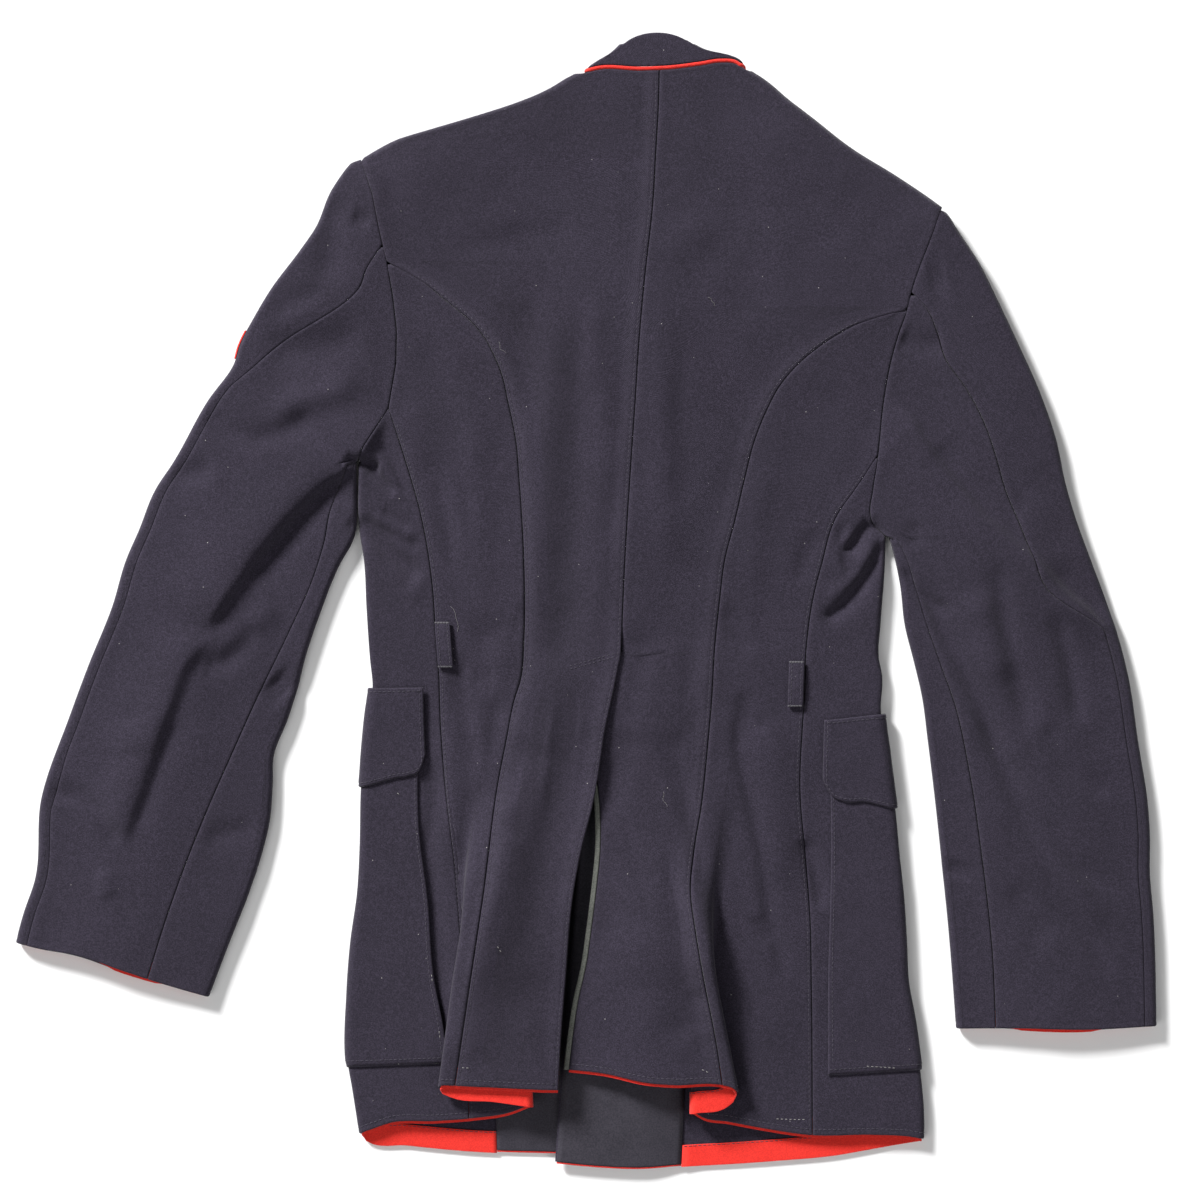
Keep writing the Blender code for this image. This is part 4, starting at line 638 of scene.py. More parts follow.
def along_weave(tree, weave, direction):
    """How far a point lies in a direction of the cloth's own map, times the direction's size."""
    return node(tree, "ShaderNodeVectorMath", {"operation": "DOT_PRODUCT"},
                {0: weave, 1: direction}, "Value")


def woollen(name, dark, light, nap=1.0, lint=0.6, sheen=0.3):
    """Napped twill: diagonal ribs a millimetre apart almost lost under a fine nap, cloudy in tone,
    paler where rubbed, with a few specks of lint."""
    made, tree, shader, place = finish_of(name, 0.88, sheen=sheen)
    weave = node(tree, "ShaderNodeUVMap", {"uv_map": "cloth"}, {})
    ribs = along_weave(tree, weave, (620.0, 1000.0, 0.0))
    drift = noise(tree, place, 9.0)
    rib = ((ribs + drift * 1.2) * (2 * math.pi / 1.1)).math("SINE") * 0.5 + 0.5
    fuzz, grain = noise(tree, place, 1.0, 3.0, 0.65), noise(tree, place, 3.2, 2.0)
    clouds, patches = noise(tree, place, 24.0, 3.0, 0.6), noise(tree, place, 90.0, 2.0)
    worn = node(tree, "ShaderNodeAttribute", {"attribute_name": "wear"}, {}, "Fac")
    tone = (fuzz - 0.5) * (2.7 * nap) + (grain - 0.5) * (0.6 * nap) + (clouds - 0.5) * 0.25
    tone = tone + (patches - 0.5) * 0.2 + worn * 0.30 + 0.40
    colour = mixed(tree, tone.over(0.0, 1.0), (*dark, 1), (*light, 1))
    cell = node(tree, "ShaderNodeTexVoronoi", {}, {"Vector": place, "Scale": 90.0}, "Distance")
    speck = (0.045 - cell).over(0.0, 0.02) * noise(tree, place, 14.0).over(0.5, 0.62)
    colour = mixed(tree, speck * lint, colour, (0.50, 0.48, 0.46, 1))
    tree.links.new(colour.socket, shader.inputs["Base Color"])
    rough = 0.93 - worn * 0.12 - (fuzz - 0.5) * 0.1
    tree.links.new(rough.socket, shader.inputs["Roughness"])
    bumped(tree, shader, fuzz * 0.7 + grain * 0.35 + rib * 0.22, 0.35)
    return made


def threaded(name, colour):
    """Twisted sewing thread, a little glossier than the cloth."""
    made, tree, shader, place = finish_of(name, 0.62, sheen=0.15)
    fuzz = noise(tree, place, 1.0)
    pale = tuple(min(1.0, c * 1.8) for c in colour)
    tree.links.new(mixed(tree, fuzz, (*colour, 1), (*pale, 1)).socket,
                   shader.inputs["Base Color"])
    bumped(tree, shader, fuzz, 0.1)
    return made


def on_grid(points, rows, columns):
    """Points at fractional row and column numbers of a grid, on straight lines in its cells."""
    rows, columns = np.broadcast_arrays(np.asarray(rows, float), np.asarray(columns, float))
    r = np.clip(rows.astype(int), 0, points.shape[0] - 2)
    c = np.clip(columns.astype(int), 0, points.shape[1] - 2)
    part_r, part_c = (rows - r)[..., None], (columns - c)[..., None]
    top = points[r, c] * (1 - part_c) + points[r, c + 1] * part_c
    low = points[r + 1, c] * (1 - part_c) + points[r + 1, c + 1] * part_c
    return top * (1 - part_r) + low * part_r


def line_on(points, rows, columns, lift=CLOTH / 2 + 0.02):
    """A line on the outside of a panel, and the directions out of the cloth along it."""
    out = on_grid(normals(points), rows, columns)
    return on_grid(points, rows, columns) + lift * out, out


def hem_line(points, rows_up, first=1.0):
    """A line across a panel, so many rows up from its hem, from its first column to near the
    last one."""
    return line_on(points, len(points) - rows_up, np.arange(first, points.shape[1] - 3))


STITCH_SIDES = 5
# The rings of a stitch: their place along it, their radius, and how far they are sunk.
STITCH_RINGS = np.array(((-0.5, -0.36, 0.36, 0.5), (0.35, 1.0, 1.0, 0.35), (-0.22, 0.0, 0.0, -0.22)))


def ring_faces(sides, rows):
    """The four-sided faces between rows of points that each run round in a ring."""
    ring = np.arange(sides)
    first = np.column_stack([ring, (ring + 1) % sides, (ring + 1) % sides + sides, ring + sides])
    return (first[None] + sides * np.arange(rows - 1)[:, None, None]).reshape(-1, 4)


def sewn(name, lines, finish, length=2.9, pitch=3.8, radius=0.27):
    """Rows of stitches. Each is a five-sided thread of four rings, thin and sunk at its ends:
    p = centre + t along + r (cos a side + sin a out)."""
    spots, along, out = [], [], []
    for line, up in lines:
        reach = np.append(0, np.cumsum(np.linalg.norm(np.diff(line, axis=0), axis=1)))
        at = np.arange(pitch / 2, reach[-1], pitch)
        here, outward, ahead, behind = (
            np.stack([np.interp(place, reach, values[:, axis]) for axis in range(3)], 1)
            for place, values in ((at, line), (at, up), (at + 0.5, line), (at - 0.5, line)))
        spots += [here]
        out += [outward]
        along += [ahead - behind]
    spots, along, out = (np.concatenate(part) for part in (spots, along, out))
    along /= np.linalg.norm(along, axis=1, keepdims=True)
    side = np.cross(along, out)
    side /= np.linalg.norm(side, axis=1, keepdims=True)
    out = np.cross(side, along)
    t, thin, sunk = STITCH_RINGS[:, :, None] * [[[length]], [[radius]], [[1.0]]]
    sides, rings = STITCH_SIDES, STITCH_RINGS.shape[1]
    angle = np.arange(sides) * (2 * math.pi / sides)
    places = (spots[:, None, None] + t[..., None] * along[:, None, None]
              + (thin * np.cos(angle))[..., None] * side[:, None, None]
              + (thin * np.sin(angle) + sunk)[..., None] * out[:, None, None])
    ring, first = np.arange(sides), sides * rings * np.arange(len(spots))[:, None, None]
    quads = (ring_faces(sides, rings)[None] + first).reshape(-1, 4)
    caps = (np.stack([ring[::-1], ring + sides * (rings - 1)])[None] + first).reshape(-1, sides)
    return built(name, places.reshape(-1, 3), quads.tolist() + caps.tolist(), finish)


navy = woollen("navy wool", (0.0125, 0.0095, 0.0185), (0.034, 0.027, 0.046), sheen=0.12)
navy_thread = threaded("navy thread", (0.030, 0.026, 0.037))

faces = {}  # the dressed panels that the marks lie on
backs = {side: back_panel(side) for side in ("left", "right")}
for side, grid in backs.items():
    seam_rows = LEVELS < PRINCESS_SEAM[side][0][0]
    joined = LEVELS >= VENT_TOP_Y
    centre = PRESSED if side == "left" else PLAIN
    edges = [("first", PRESSED, seam_rows),
             ("first", PLAIN, ~seam_rows & (LEVELS < SHOULDER[side][-1][0])),
             ("last", centre, joined), ("top", HEMMED, None), ("hem", HEMMED, None),
             ("last", PRESSED if side == "left" else PLAIN, ~joined)]
    shown, wear = dressed(grid, *edges)
    faces[f"back_{side}"] = shown
    made = cloth(f"back_{side}_cloth", shown, navy, wear=wear)
    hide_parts(f"back_{side}")
    rows = np.flatnonzero(seam_rows)
    lines = [line_on(shown, rows[3:-2].astype(float), 3.0), hem_line(shown, HEM_STITCH, 3.0)]
    if side == "left":
        lines += [line_on(shown, np.arange(4.0, len(shown) - 3), shown.shape[1] - 4.0)]
    sewn(f"back_{side}_stitches", lines, navy_thread)

# The seam's allowances, pressed open on its inside.
ALLOWANCE_X = np.array([-11.0, -7, -3, -1, 1, 3, 7, 11])
ALLOWANCE_END_Y, ALLOWANCE_BELOW, ALLOWANCE_THICK = VENT_TOP_Y + 16, 1.3, 0.8
joined = backs["left"][LEVELS >= ALLOWANCE_END_Y][:, -1]
strip = joined[:, None] + ALLOWANCE_X[:, None] * (1.0, 0, 0)
strip[..., 2] = upper(strip[..., 0], strip[..., 1]) - CLOTH / 2 - ALLOWANCE_BELOW
cloth("centre_seam_allowances", strip, navy, ALLOWANCE_THICK)

# ---- The two side-back panels ----------------------------------------------------------------
# Of the same wool, between the curved princess seams and the side seams. They flare below the
# waist, where the spare cloth folds over itself, once out and once back, down to the hem.

GATHER_Y = {"left": (100.0, -40.0), "right": (20.0, -115.0)}  # where its points draw together
SIDE_SEAM = {
    "left": ((153, -157.5), (112, -144), (70, -132), (17, -123), (-22, -120), (-56, -117.5),
             (-98, -116), (-143, -112.5), (-215, -104), (-253, -101), (-323, -96), (-440, -93)),
    "right": ((116, 229.5), (101, 220), (85, 209), (72, 199.5), (29, 185), (1, 178), (-31, 173.5),
              (-82, 171), (-150, 168), (-200, 172), (-251, 176), (-301, 177), (-440, 178)),
}
LOWER_HEM = {
    "left": ((-180, -420), (-172, -417.5), (-156, -412), (-120, -410.5), (-90, -408),
             (-60, -403), (-46, -397.5)),
    "right": ((84, -403), (90, -407), (111, -411), (143, -417), (174, -421.5), (227, -421.5),
              (255, -423), (266, -425)),
}
MIDDLE_HEM = {
    "left": ((-118, -384), (-105, -389.5), (-75, -392), (-46, -396)),
    "right": ((84, -401.5), (111, -395.5), (119, -388)),
}


def side_back_panel(side):
    """From the princess seam, over the skirt's fold, to the side seam and armhole. Round its first
    turn a point lies r sin a out and r (1 - cos a) down, then the run, and the second turn back."""
    inward = INTERIOR[side]
    lead, turns, run_cells, rest = 7, 12, 12, 34
    seam_top, side_top = PRINCESS_SEAM[side][0][0], SIDE_SEAM[side][0][0]
    levels = LEVELS[LEVELS <= seam_top]
    rows = levels[:, None]
    b = lead + turns + run_cells  # the run's last column, and then the second turn's
    c = b + turns
    count = c + rest + 1

    def profile(y):
        """Distance out and drop of the points from the first turn's start to the second's end."""
        _, run, angle, _ = skirt_fold(side, y[:, lead:c + 1])
        step = np.concatenate([np.linspace(0, 1, turns + 1), np.ones(run_cells),
                               np.linspace(1, 0, turns + 1)[1:]])
        part = np.concatenate([np.zeros(turns + 1), np.linspace(0, 1, run_cells + 1)[1:],
                               np.ones(turns)])
        back = np.concatenate([np.zeros(turns + 1 + run_cells), np.ones(turns)])
        radius, bent = FOLD_TURN[side] / angle, angle * step
        out = np.where(back > 0, radius * (2 * np.sin(angle) - np.sin(bent)), radius * np.sin(bent))
        drop = np.where(back > 0, radius * (1 + np.cos(bent) - 2 * np.cos(angle)),
                        radius * (1 - np.cos(bent)))
        return out + part * run * np.cos(angle), drop + part * run * np.sin(angle)

    def layout(y):
        seam = read(PRINCESS_SEAM[side], y) - inward * SEAM
        outer = np.where(rows > side_top, armhole(side, y), read(SIDE_SEAM[side], y)) + inward * SEAM
        even = across(seam, outer, lean(PRINCESS_SEAM[side], y))
        first = skirt_fold(side, y)[0]
        turned_x = first[:, lead:c + 1] - inward * profile(y)[0]
        start = seam[:, :lead] + np.linspace(0, 1, lead + 1)[:-1] * (first - seam)[:, :lead]
        end = across(turned_x[:, -1:] + 0 * y[:, c:], outer[:, c:])[:, 1:]
        folded = np.concatenate([start, turned_x, end], axis=1)
        return even + (1 - ease(y, *GATHER_Y[side][::-1])) * (folded - even)

    def slide(level_y, x):
        share = np.clip((np.arange(count) - lead) / turns, 0, 1)
        other = np.clip((np.arange(count) - b) / turns, 0, 1)
        top, middle, low = (read(table[side], x[-1]) for table in (TOP_HEM, MIDDLE_HEM, LOWER_HEM))
        target = top + share * (middle - top)
        target = np.where(other > 0, middle + other * (low - middle), target)
        return slide_to(level_y, target)

    x, y = settle(levels, count, layout, slide)
    height = skirt_fold(side, y)[3]
    height[:, lead:c + 1] -= profile(y)[1]
    height[:, c + 1:] = 0
    return np.stack([x, y, upper(x, y) + height], axis=-1), levels


side_backs = {}
for side in ("left", "right"):
    grid, levels = side_back_panel(side)
    side_backs[side] = grid
    below = levels <= SIDE_SEAM[side][0][0]
    shown, wear = dressed(grid, ("first", PLAIN, None), ("last", STITCHED, below),
                          ("last", PLAIN, ~below), ("hem", HEMMED, None))
    faces[f"side_back_{side}"] = shown
    made = cloth(f"side_back_{side}_cloth", shown, navy, wear=wear)
    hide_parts(f"side_back_{side}")
    rows = np.flatnonzero(below)
    lines = [line_on(shown, rows[4:-2].astype(float), shown.shape[1] - 4.0),
             hem_line(shown, HEM_STITCH)]
    sewn(f"side_back_{side}_stitches", lines, navy_thread)

# ---- The two fronts --------------------------------------------------------------------------
# The same wool again, from the side seams round the side edges and on underneath to the front
# closure, where the left front laps outside the right one over the buttons.

FRONT_LEVELS = LEVELS[LEVELS < NECK_Y - 5]
UNDERARM_Y = {"left": 110.0, "right": 52.0}
BUTTON_STAND, BUTTON_THICK = 30.0, 3.2
BUTTON_Y = (318.0, 236.0, 154.0, 72.0, -10.0)
BODY_EDGE = {
    "left": ((110, -181.5), (56, -180.6), (33, -177), (-4, -175), (-46, -172), (-68, -170),
             (-90, -172.8), (-150, -177.5), (-196, -178.5), (-230, -180.5), (-270, -186),
             (-310, -189), (-370, -189), (-381, -187), (-406, -183), (-440, -178)),
    "right": ((52, 236), (30, 235.4), (-17, 232), (-45, 230.5), (-58, 233), (-85, 232),
              (-124, 236.5), (-168, 242), (-200, 245), (-238, 249), (-271, 251), (-301, 252.5),
              (-331, 258), (-373, 263.5), (-399, 266), (-450, 266)),
}
FRONT_HEM = {
    "left": ((-180, -421.5), (-176, -424.5), (-143, -428.5), (-90, -433.5), (-30, -435.5),
             (34, -436.5)),
    "right": ((-26, -443), (5, -446), (43, -447.5), (72, -445.5), (110, -443.5), (153, -440.5),
              (196, -436.5), (227, -431), (259, -425.5), (266, -424.5)),
}
LAIN_ON_TO, BUTTONS_LIFT_FROM = (126, 150), (-105, -55)  # from its side edge, from its centre
POCKET_TOP_Y = {"left": -88.0, "right": -112.0}
FLAP_TOP = {"left": ((-175, -68.5), (-129, -68)), "right": ((186, -93.5), (233, -89))}


def edge_reach(side, y):
    """How far in a side edge turns over, which is less where it starts at the underarm."""
    return ROLL - 2.5 * ease(y, UNDERARM_Y[side] - 40, UNDERARM_Y[side])


def under(side, x, y):
    """Height of the middle of a front, lifted by the pocket, the buttons and the other front."""
    into = INTERIOR[side] * (x - read(BODY_EDGE[side], y))
    lain_on, flap_y = 1 - ease(into, *LAIN_ON_TO), FLAP_TOP[side][0][1]
    pocket = between(y, -396, POCKET_TOP_Y[side] + 36, 30) * lain_on
    flap = between(y, flap_y - 128, flap_y + 36, 30) * lain_on
    height = REST + np.maximum((LAYER + 0.15) * pocket, (2 * LAYER + 0.3) * flap)
    past = x - centre_front(y)
    button_lift = (BUTTON_THICK + GAP) * between(y, BUTTON_Y[-1] - 50, 352, 40)
    if side == "left":
        return height + button_lift * ease(past, *BUTTONS_LIFT_FROM)
    overlap = (button_lift + CLOTH + TRIM + 5 * GAP) * between(y, -999, 345, 50)
    share = 1 - ease(past, BUTTON_STAND + 4, BUTTON_STAND + 60)
    return height + (np.maximum(height, REST + overlap) - height) * share


def level(high, low, angle):
    """Height round a turned edge: (high + low)/2 + (high - low)/2 sin angle."""
    return (high + low) / 2 + (high - low) / 2 * np.sin(np.radians(angle))


STRIP, TURN, FLAT = 26, 14, 40  # cells of a front: upper strip, round the edge, lower layer


def front_panel(side, creased=True):
    """From the side seam round the side edge, and on below to the neckline and front edge."""
    inward, split, flat = INTERIOR[side], STRIP, STRIP + TURN
    shoulder_end, underarm = SHOULDER[side][-1][0], UNDERARM_Y[side]
    rows = FRONT_LEVELS[:, None]
    on_shoulder, above = rows > shoulder_end, rows > underarm
    free = ease(shoulder_end - rows, 0, SHOULDER_EASE)
    turns = np.linspace(90, -90, TURN + 1)[:-1]
    rolls = np.concatenate([np.linspace(0, -90, 7), np.full(FLAT - 6, -90.0)])

    def layout(y):
        edge, reach = read(BODY_EDGE[side], y), edge_reach(side, y)
        tangent = np.where(above, armhole(side, y) + inward * SEAM, turned(edge, inward, 90, reach))
        seam = read(SIDE_SEAM[side], y) - inward * SEAM
        strip = across(seam[:, :split + 1], tangent[:, :split + 1], near_end=False)[:, :split]
        turn = np.where(above, tangent[:, split:flat],
                        turned(edge[:, split:flat], inward, turns, reach[:, split:flat]))
        y_flat = y[:, flat:]
        roll = turned(read(SHOULDER[side], y_flat), inward, rolls, shoulder_reach(side, y_flat))
        start = np.where(on_shoulder, roll, tangent[:, flat:])
        drop = np.clip((NECK_Y - y_flat) / (NECK_DROP + PIPING_ROOM), 0, 1)
        neck = NECK_X - inward * (NECK_HALF_WIDTH + PIPING_ROOM) * np.sqrt(1 - drop**2)
        stand = centre_front(y_flat) + inward * BUTTON_STAND
        end = np.where(rows > NECK_Y - NECK_DROP - PIPING_ROOM, neck, stand)
        rolled = start + np.clip((np.arange(FLAT + 1) - 6) / (FLAT - 6), 0, 1) * (end - start)
        spread = start + np.linspace(0, 1, FLAT + 1) * (end - start)
        return np.concatenate([strip, turn, rolled + free * (spread - rolled)], axis=1)

    def slide(level_y, x):
        lower, front = read(LOWER_HEM[side], x[-1]), read(FRONT_HEM[side], x[-1])
        share = np.clip((np.arange(len(lower)) - split) / TURN, 0, 1)
        return slide_to(level_y, lower + share * (front - lower))

    x, y = settle(FRONT_LEVELS, STRIP + TURN + FLAT + 1, layout, slide)
    tangent = turned(read(BODY_EDGE[side], y), inward, 90, edge_reach(side, y))
    column = np.arange(x.shape[1])
    at_x = np.where((column > split) & (column < flat), tangent, x)
    high, low = upper(at_x, y, creased), under(side, at_x, y)
    z = level(high, low, np.concatenate([[90] * STRIP, turns, [-90] * (FLAT + 1)]))
    middle = (high + low)[:, flat:] / 2 - SHOULDER_SEAM
    rounded = middle + (middle - low[:, flat:]) * np.sin(np.radians(rolls))
    z[:, flat:] = np.where(on_shoulder, rounded, z[:, flat:])
    cells = np.ones((len(rows) - 1, len(column) - 1), dtype=bool)
    cells[FRONT_LEVELS[1:] > SIDE_SEAM[side][0][0] - 4, :split] = False
    cells[FRONT_LEVELS[1:] > underarm - 1, split:flat] = False
    return np.stack([x, y, z], axis=-1), cells


fronts, smooth_fronts = {}, {}
for side in ("left", "right"):
    grid, cells = front_panel(side)
    fronts[side], smooth_fronts[side] = grid, front_panel(side, creased=False)[0]
    shown, wear = dressed(grid, ("first", PLAIN, FRONT_LEVELS < SIDE_SEAM[side][0][0] - 8),
                          ("last", HEMMED, None), ("hem", HEMMED, None))
    made = cloth(f"front_{side}_cloth", shown, navy, cells=cells, wear=wear)
    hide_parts(f"front_{side}")
    lines = [hem_line(shown, HEM_STITCH),
             line_on(shown, np.arange(28.0, len(shown) - 3), shown.shape[1] - 2.0)]
    sewn(f"front_{side}_stitches", lines, navy_thread)

# ---- The sleeves -----------------------------------------------------------------------------
# Each is two pieces of the wool, set into the armhole: the under sleeve, which lies uppermost
# here, and the top sleeve, which wraps both edges. A back seam and a forearm seam join them.

SLEEVE_OUTER = {
    "left": ((349, -186), (324, -203), (294, -216), (278, -227), (246, -251), (226, -263),
             (203, -275), (187, -280), (159, -300), (111, -327), (88, -342), (56, -355),
             (33, -365), (-4, -376), (-51, -395), (-90, -409.5), (-155, -432), (-223, -438),
             (-246, -446), (-320, -462)),
    "right": ((310, 283), (297, 290.5), (267, 310), (238, 324.5), (203, 341), (165, 358),
              (127, 371), (94, 378), (62, 387.5), (32, 398.5), (0, 410.5), (-30, 420.5),
              (-60, 428), (-113, 436), (-157, 443), (-184, 445), (-215, 445), (-245, 447.5),
              (-350, 450.5)),
}
SLEEVE_INNER = {
    "left": ((110, -182.6), (90, -182.3), (72, -182.2), (62, -182.5), (54, -183.6), (45, -187),
             (33, -194), (-8, -211), (-42, -222.5), (-71, -230), (-94, -237.5), (-121, -248),
             (-144, -249), (-171, -251), (-201, -258), (-235, -269.5), (-269, -283),
             (-330, -306)),
    "right": ((52, 238), (34, 243), (15, 247), (-19, 251), (-47, 258), (-75, 264.5),
              (-109, 269), (-154, 274.5), (-210, 280.5), (-254, 285), (-350, 292.5)),
}
SLEEVE_BACK_SEAM = {
    "left": ((282, -161.5), (263, -174), (245, -182), (235, -193), (221, -215), (211, -232),
             (182, -267.5), (158, -296), (150, -304.5), (111, -325), (-320, -470)),
    "right": ((244, 256), (233, 266.5), (213, 276), (191, 283), (168, 299), (146, 311), (116, 322),
              (87, 330.5), (62, 341), (37, 351), (4, 368.5), (-15, 398.5), (-32, 425),
              (-350, 460)),
}
FOREARM_SEAM = {
    "left": ((110, -188.5), (92, -195.5), (71, -203.5), (47, -208), (19, -216.5), (-28, -237.5),
             (-74, -260), (-115, -278.5), (-165, -300.5), (-205, -316.5), (-244, -330.5),
             (-320, -354)),
    "right": ((52, 243), (34, 252), (15, 258), (-15, 267), (-47, 278), (-79, 289.5), (-136, 302),
              (-201, 311.5), (-272, 319.5), (-350, 323)),
}
CUFF = {
    "left": ((-451, -270), (-435, -274), (-399, -280.5), (-367, -291.5), (-334, -302.5),
             (-300, -312.5)),
    "right": ((292, -337.5), (338, -337), (398, -338), (451, -335.5)),
}
SLEEVE_HEAD = {"left": ((-189, 345), (-178, 349)), "right": ((278, 309.2), (286, 305.6))}
SLEEVE_TOP_Y = {"left": 345.5, "right": 307.5}
CUFF_SAG, BACK_SEAM_INSET = 2.5, 9.5


def sleeve_levels(side):
    """Heights of a sleeve's rows, three millimetres apart, and close together at the cuff."""
    cuff = sum(height for _, height in CUFF[side]) / len(CUFF[side])
    return np.concatenate([np.arange(SLEEVE_TOP_Y[side], cuff + 11, -3.0), cuff + NEAR[::-1]])


def back_seam(side, y):
    """The sleeve's back seam, which past the elbow runs just inside the outer edge."""
    least = read(SLEEVE_OUTER[side], y) + INTERIOR[side] * BACK_SEAM_INSET
    inner = np.maximum if side == "left" else np.minimum
    seam = inner(read(SLEEVE_BACK_SEAM[side], y), least)
    return np.where(y > SLEEVE_BACK_SEAM[side][0][0], armhole(side, y), seam)


def sleeve_slide(side, level_y, x, sag):
    """Rows slid to the sleeve's head and to its cuff, which hangs lower on the under layer."""
    top = SLEEVE_TOP_Y[side]
    head = ease(level_y, top - 20, top) * (read(SLEEVE_HEAD[side], x) - top)
    part = (x[-1] - x[-1].min()) / (x[-1].max() - x[-1].min())
    target = read(CUFF[side], x[-1]) - sag * CUFF_SAG * np.sin(np.pi * part) ** 2
    return level_y + ease(-level_y, -40, -level_y.min()) * (target - level_y.min()) + head


def top_sleeve(side):
    """From the back seam round the outer edge, below, and round the inner edge to the other."""
    inward, underarm = INTERIOR[side], UNDERARM_Y[side]
    levels = sleeve_levels(side)
    wraps = levels[:, None] <= underarm
    turn_cells, flat_cells, other_cells = 14, 22, 18
    a, b = 22, 22 + turn_cells  # the last columns of the strip, the outer turn, the lower layer
    c, d = b + flat_cells, b + flat_cells + turn_cells  # and the inner turn
    count = d + other_cells + 1
    outer_turns = np.linspace(90, -90, turn_cells + 1)
    inner_turns = outer_turns[::-1]

    def layout(y):
        outer, inner = read(SLEEVE_OUTER[side], y), read(SLEEVE_INNER[side], y)
        reach = edge_reach(side, y)
        arm = armhole(side, y) - inward * SEAM
        tangent = turned(outer, inward, 90, ROLL)
        far = np.where(wraps, turned(inner, -inward, 90, reach), arm)
        end = np.where(wraps, read(FOREARM_SEAM[side], y) + inward * SEAM, arm)
        start = back_seam(side, y) - inward * SEAM
        strip = across(start[:, :a + 1], tangent[:, :a + 1], near_end=False)[:, :a]
        turn = turned(outer[:, a:b + 1], inward, outer_turns, ROLL)
        share = np.arange(1, flat_cells + 1) / flat_cells
        flat = tangent[:, b + 1:c + 1] + share * (far - tangent)[:, b + 1:c + 1]
        other_turn = turned(inner[:, c + 1:d + 1], -inward, inner_turns[1:], reach[:, c + 1:d + 1])
        other = across(end[:, :d - 1:-1], far[:, :d - 1:-1], near_end=False)[:, :-1][:, ::-1]
        return np.concatenate([strip, turn, flat, other_turn, other], axis=1)

    sag = np.where((np.arange(count) >= b) & (np.arange(count) <= c), 1, 0)
    x, y = settle(levels, count, layout, lambda level_y, x: sleeve_slide(side, level_y, x, sag))
    column = np.arange(count)
    tangent = turned(read(SLEEVE_OUTER[side], y), inward, 90, ROLL)
    at_x = np.where((column > a) & (column < b), tangent, x)
    tangent = turned(read(SLEEVE_INNER[side], y), -inward, 90, edge_reach(side, y))
    at_x = np.where((column > c) & (column < d), tangent, at_x)
    angle = np.concatenate([[90] * a, outer_turns, [-90] * flat_cells, inner_turns[1:],
                            [90] * other_cells])
    z = level(upper(at_x, y), REST, angle)
    cells = np.ones((len(levels) - 1, count - 1), dtype=bool)
    cells[levels[1:] > underarm - 1, c:] = False
    return np.stack([x, y, z], axis=-1), cells


def under_sleeve(side):
    """The panel between the sleeve's two seams, on the upper layer."""
    inward, levels = INTERIOR[side], sleeve_levels(side)
    levels = levels[levels < SLEEVE_BACK_SEAM[side][0][0]]

    def layout(y):
        last = np.where(levels[:, None] > UNDERARM_Y[side], armhole(side, y),
                        read(FOREARM_SEAM[side], y))
        return across(back_seam(side, y) + inward * SEAM, last - inward * SEAM,
                      lean(SLEEVE_BACK_SEAM[side], y))

    x, y = settle(levels, 56, layout, lambda level_y, x: sleeve_slide(side, level_y, x, 0))
    return np.stack([x, y, upper(x, y)], axis=-1), levels


top_sleeves, under_sleeves = {}, {}
for side in ("left", "right"):
    grid, cells = top_sleeve(side)
    top_sleeves[side] = grid
    levels = sleeve_levels(side)
    shown, wear = dressed(grid, ("first", PLAIN, None), ("last", PLAIN, levels <= UNDERARM_Y[side]),
                          ("hem", HEMMED, None))
    made = cloth(f"top_sleeve_{side}_cloth", shown, navy, cells=cells, wear=wear)
    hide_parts(f"top_sleeve_{side}")
    grid, levels = under_sleeve(side)
    under_sleeves[side] = grid
    shown, wear = dressed(grid, ("first", PLAIN, None), ("last", PLAIN, None), ("hem", HEMMED, None))
    made = cloth(f"under_sleeve_{side}_cloth", shown, navy, wear=wear)
    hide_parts(f"under_sleeve_{side}")

# The head's own edge turns in between the layers, over this share of its width.
HEAD_SHARE, HEAD_DROP, HEAD_CLEAR, HEAD_THICK = 0.54, 1.4, 0.4, 1.2
for side in ("left", "right"):
    (x, y), (end_x, end_y) = SLEEVE_HEAD[side][::-1] if side == "left" else SLEEVE_HEAD[side]
    share = np.linspace(0, HEAD_SHARE, 10)
    head_x, head_y = x + share * (end_x - x), y + share * (end_y - y) - HEAD_DROP
    clear = CLOTH / 2 + HEAD_CLEAR
    low, high = REST + clear, upper(head_x, head_y) - clear
    rise = np.linspace(0, 1, 7)[:, None]
    wall = np.stack([head_x + 0 * rise, head_y + 0 * rise, low + (high - low) * rise], axis=-1)
    cloth(f"sleeve_head_{side}", wall, navy, HEAD_THICK)

# ---- The sleeve's patch ----------------------------------------------------------------------
# A plain red cloth patch is sewn low on the left upper arm's outside, under this layer. Only its
# rim shows, round the outer edge.

red = woollen("red cloth", (0.62, 0.018, 0.012), (0.86, 0.040, 0.026), nap=0.7, lint=0.15,
              sheen=0.2)
PATCH_Y, PATCH_ANGLES, PATCH_OUTSET = (214.0, 192.0), (34.0, -36.0), (CLOTH + TRIM) / 2 + 0.5
y = np.linspace(*PATCH_Y, 16)[:, None]
angle = np.radians(np.linspace(*PATCH_ANGLES, 9))
outer = read(SLEEVE_OUTER["left"], y)
middle, half = (upper(outer + ROLL, y) + REST) / 2, (TOP - REST) / 2
x = outer + CLOTH / 2 + ROLL - (ROLL + PATCH_OUTSET) * np.cos(angle)
z = middle + (half + PATCH_OUTSET) * np.sin(angle)
rim = np.stack(np.broadcast_arrays(x, y, z), axis=-1)
cloth("sleeve_patch_rim", rim, red, TRIM, blunt=0.8)

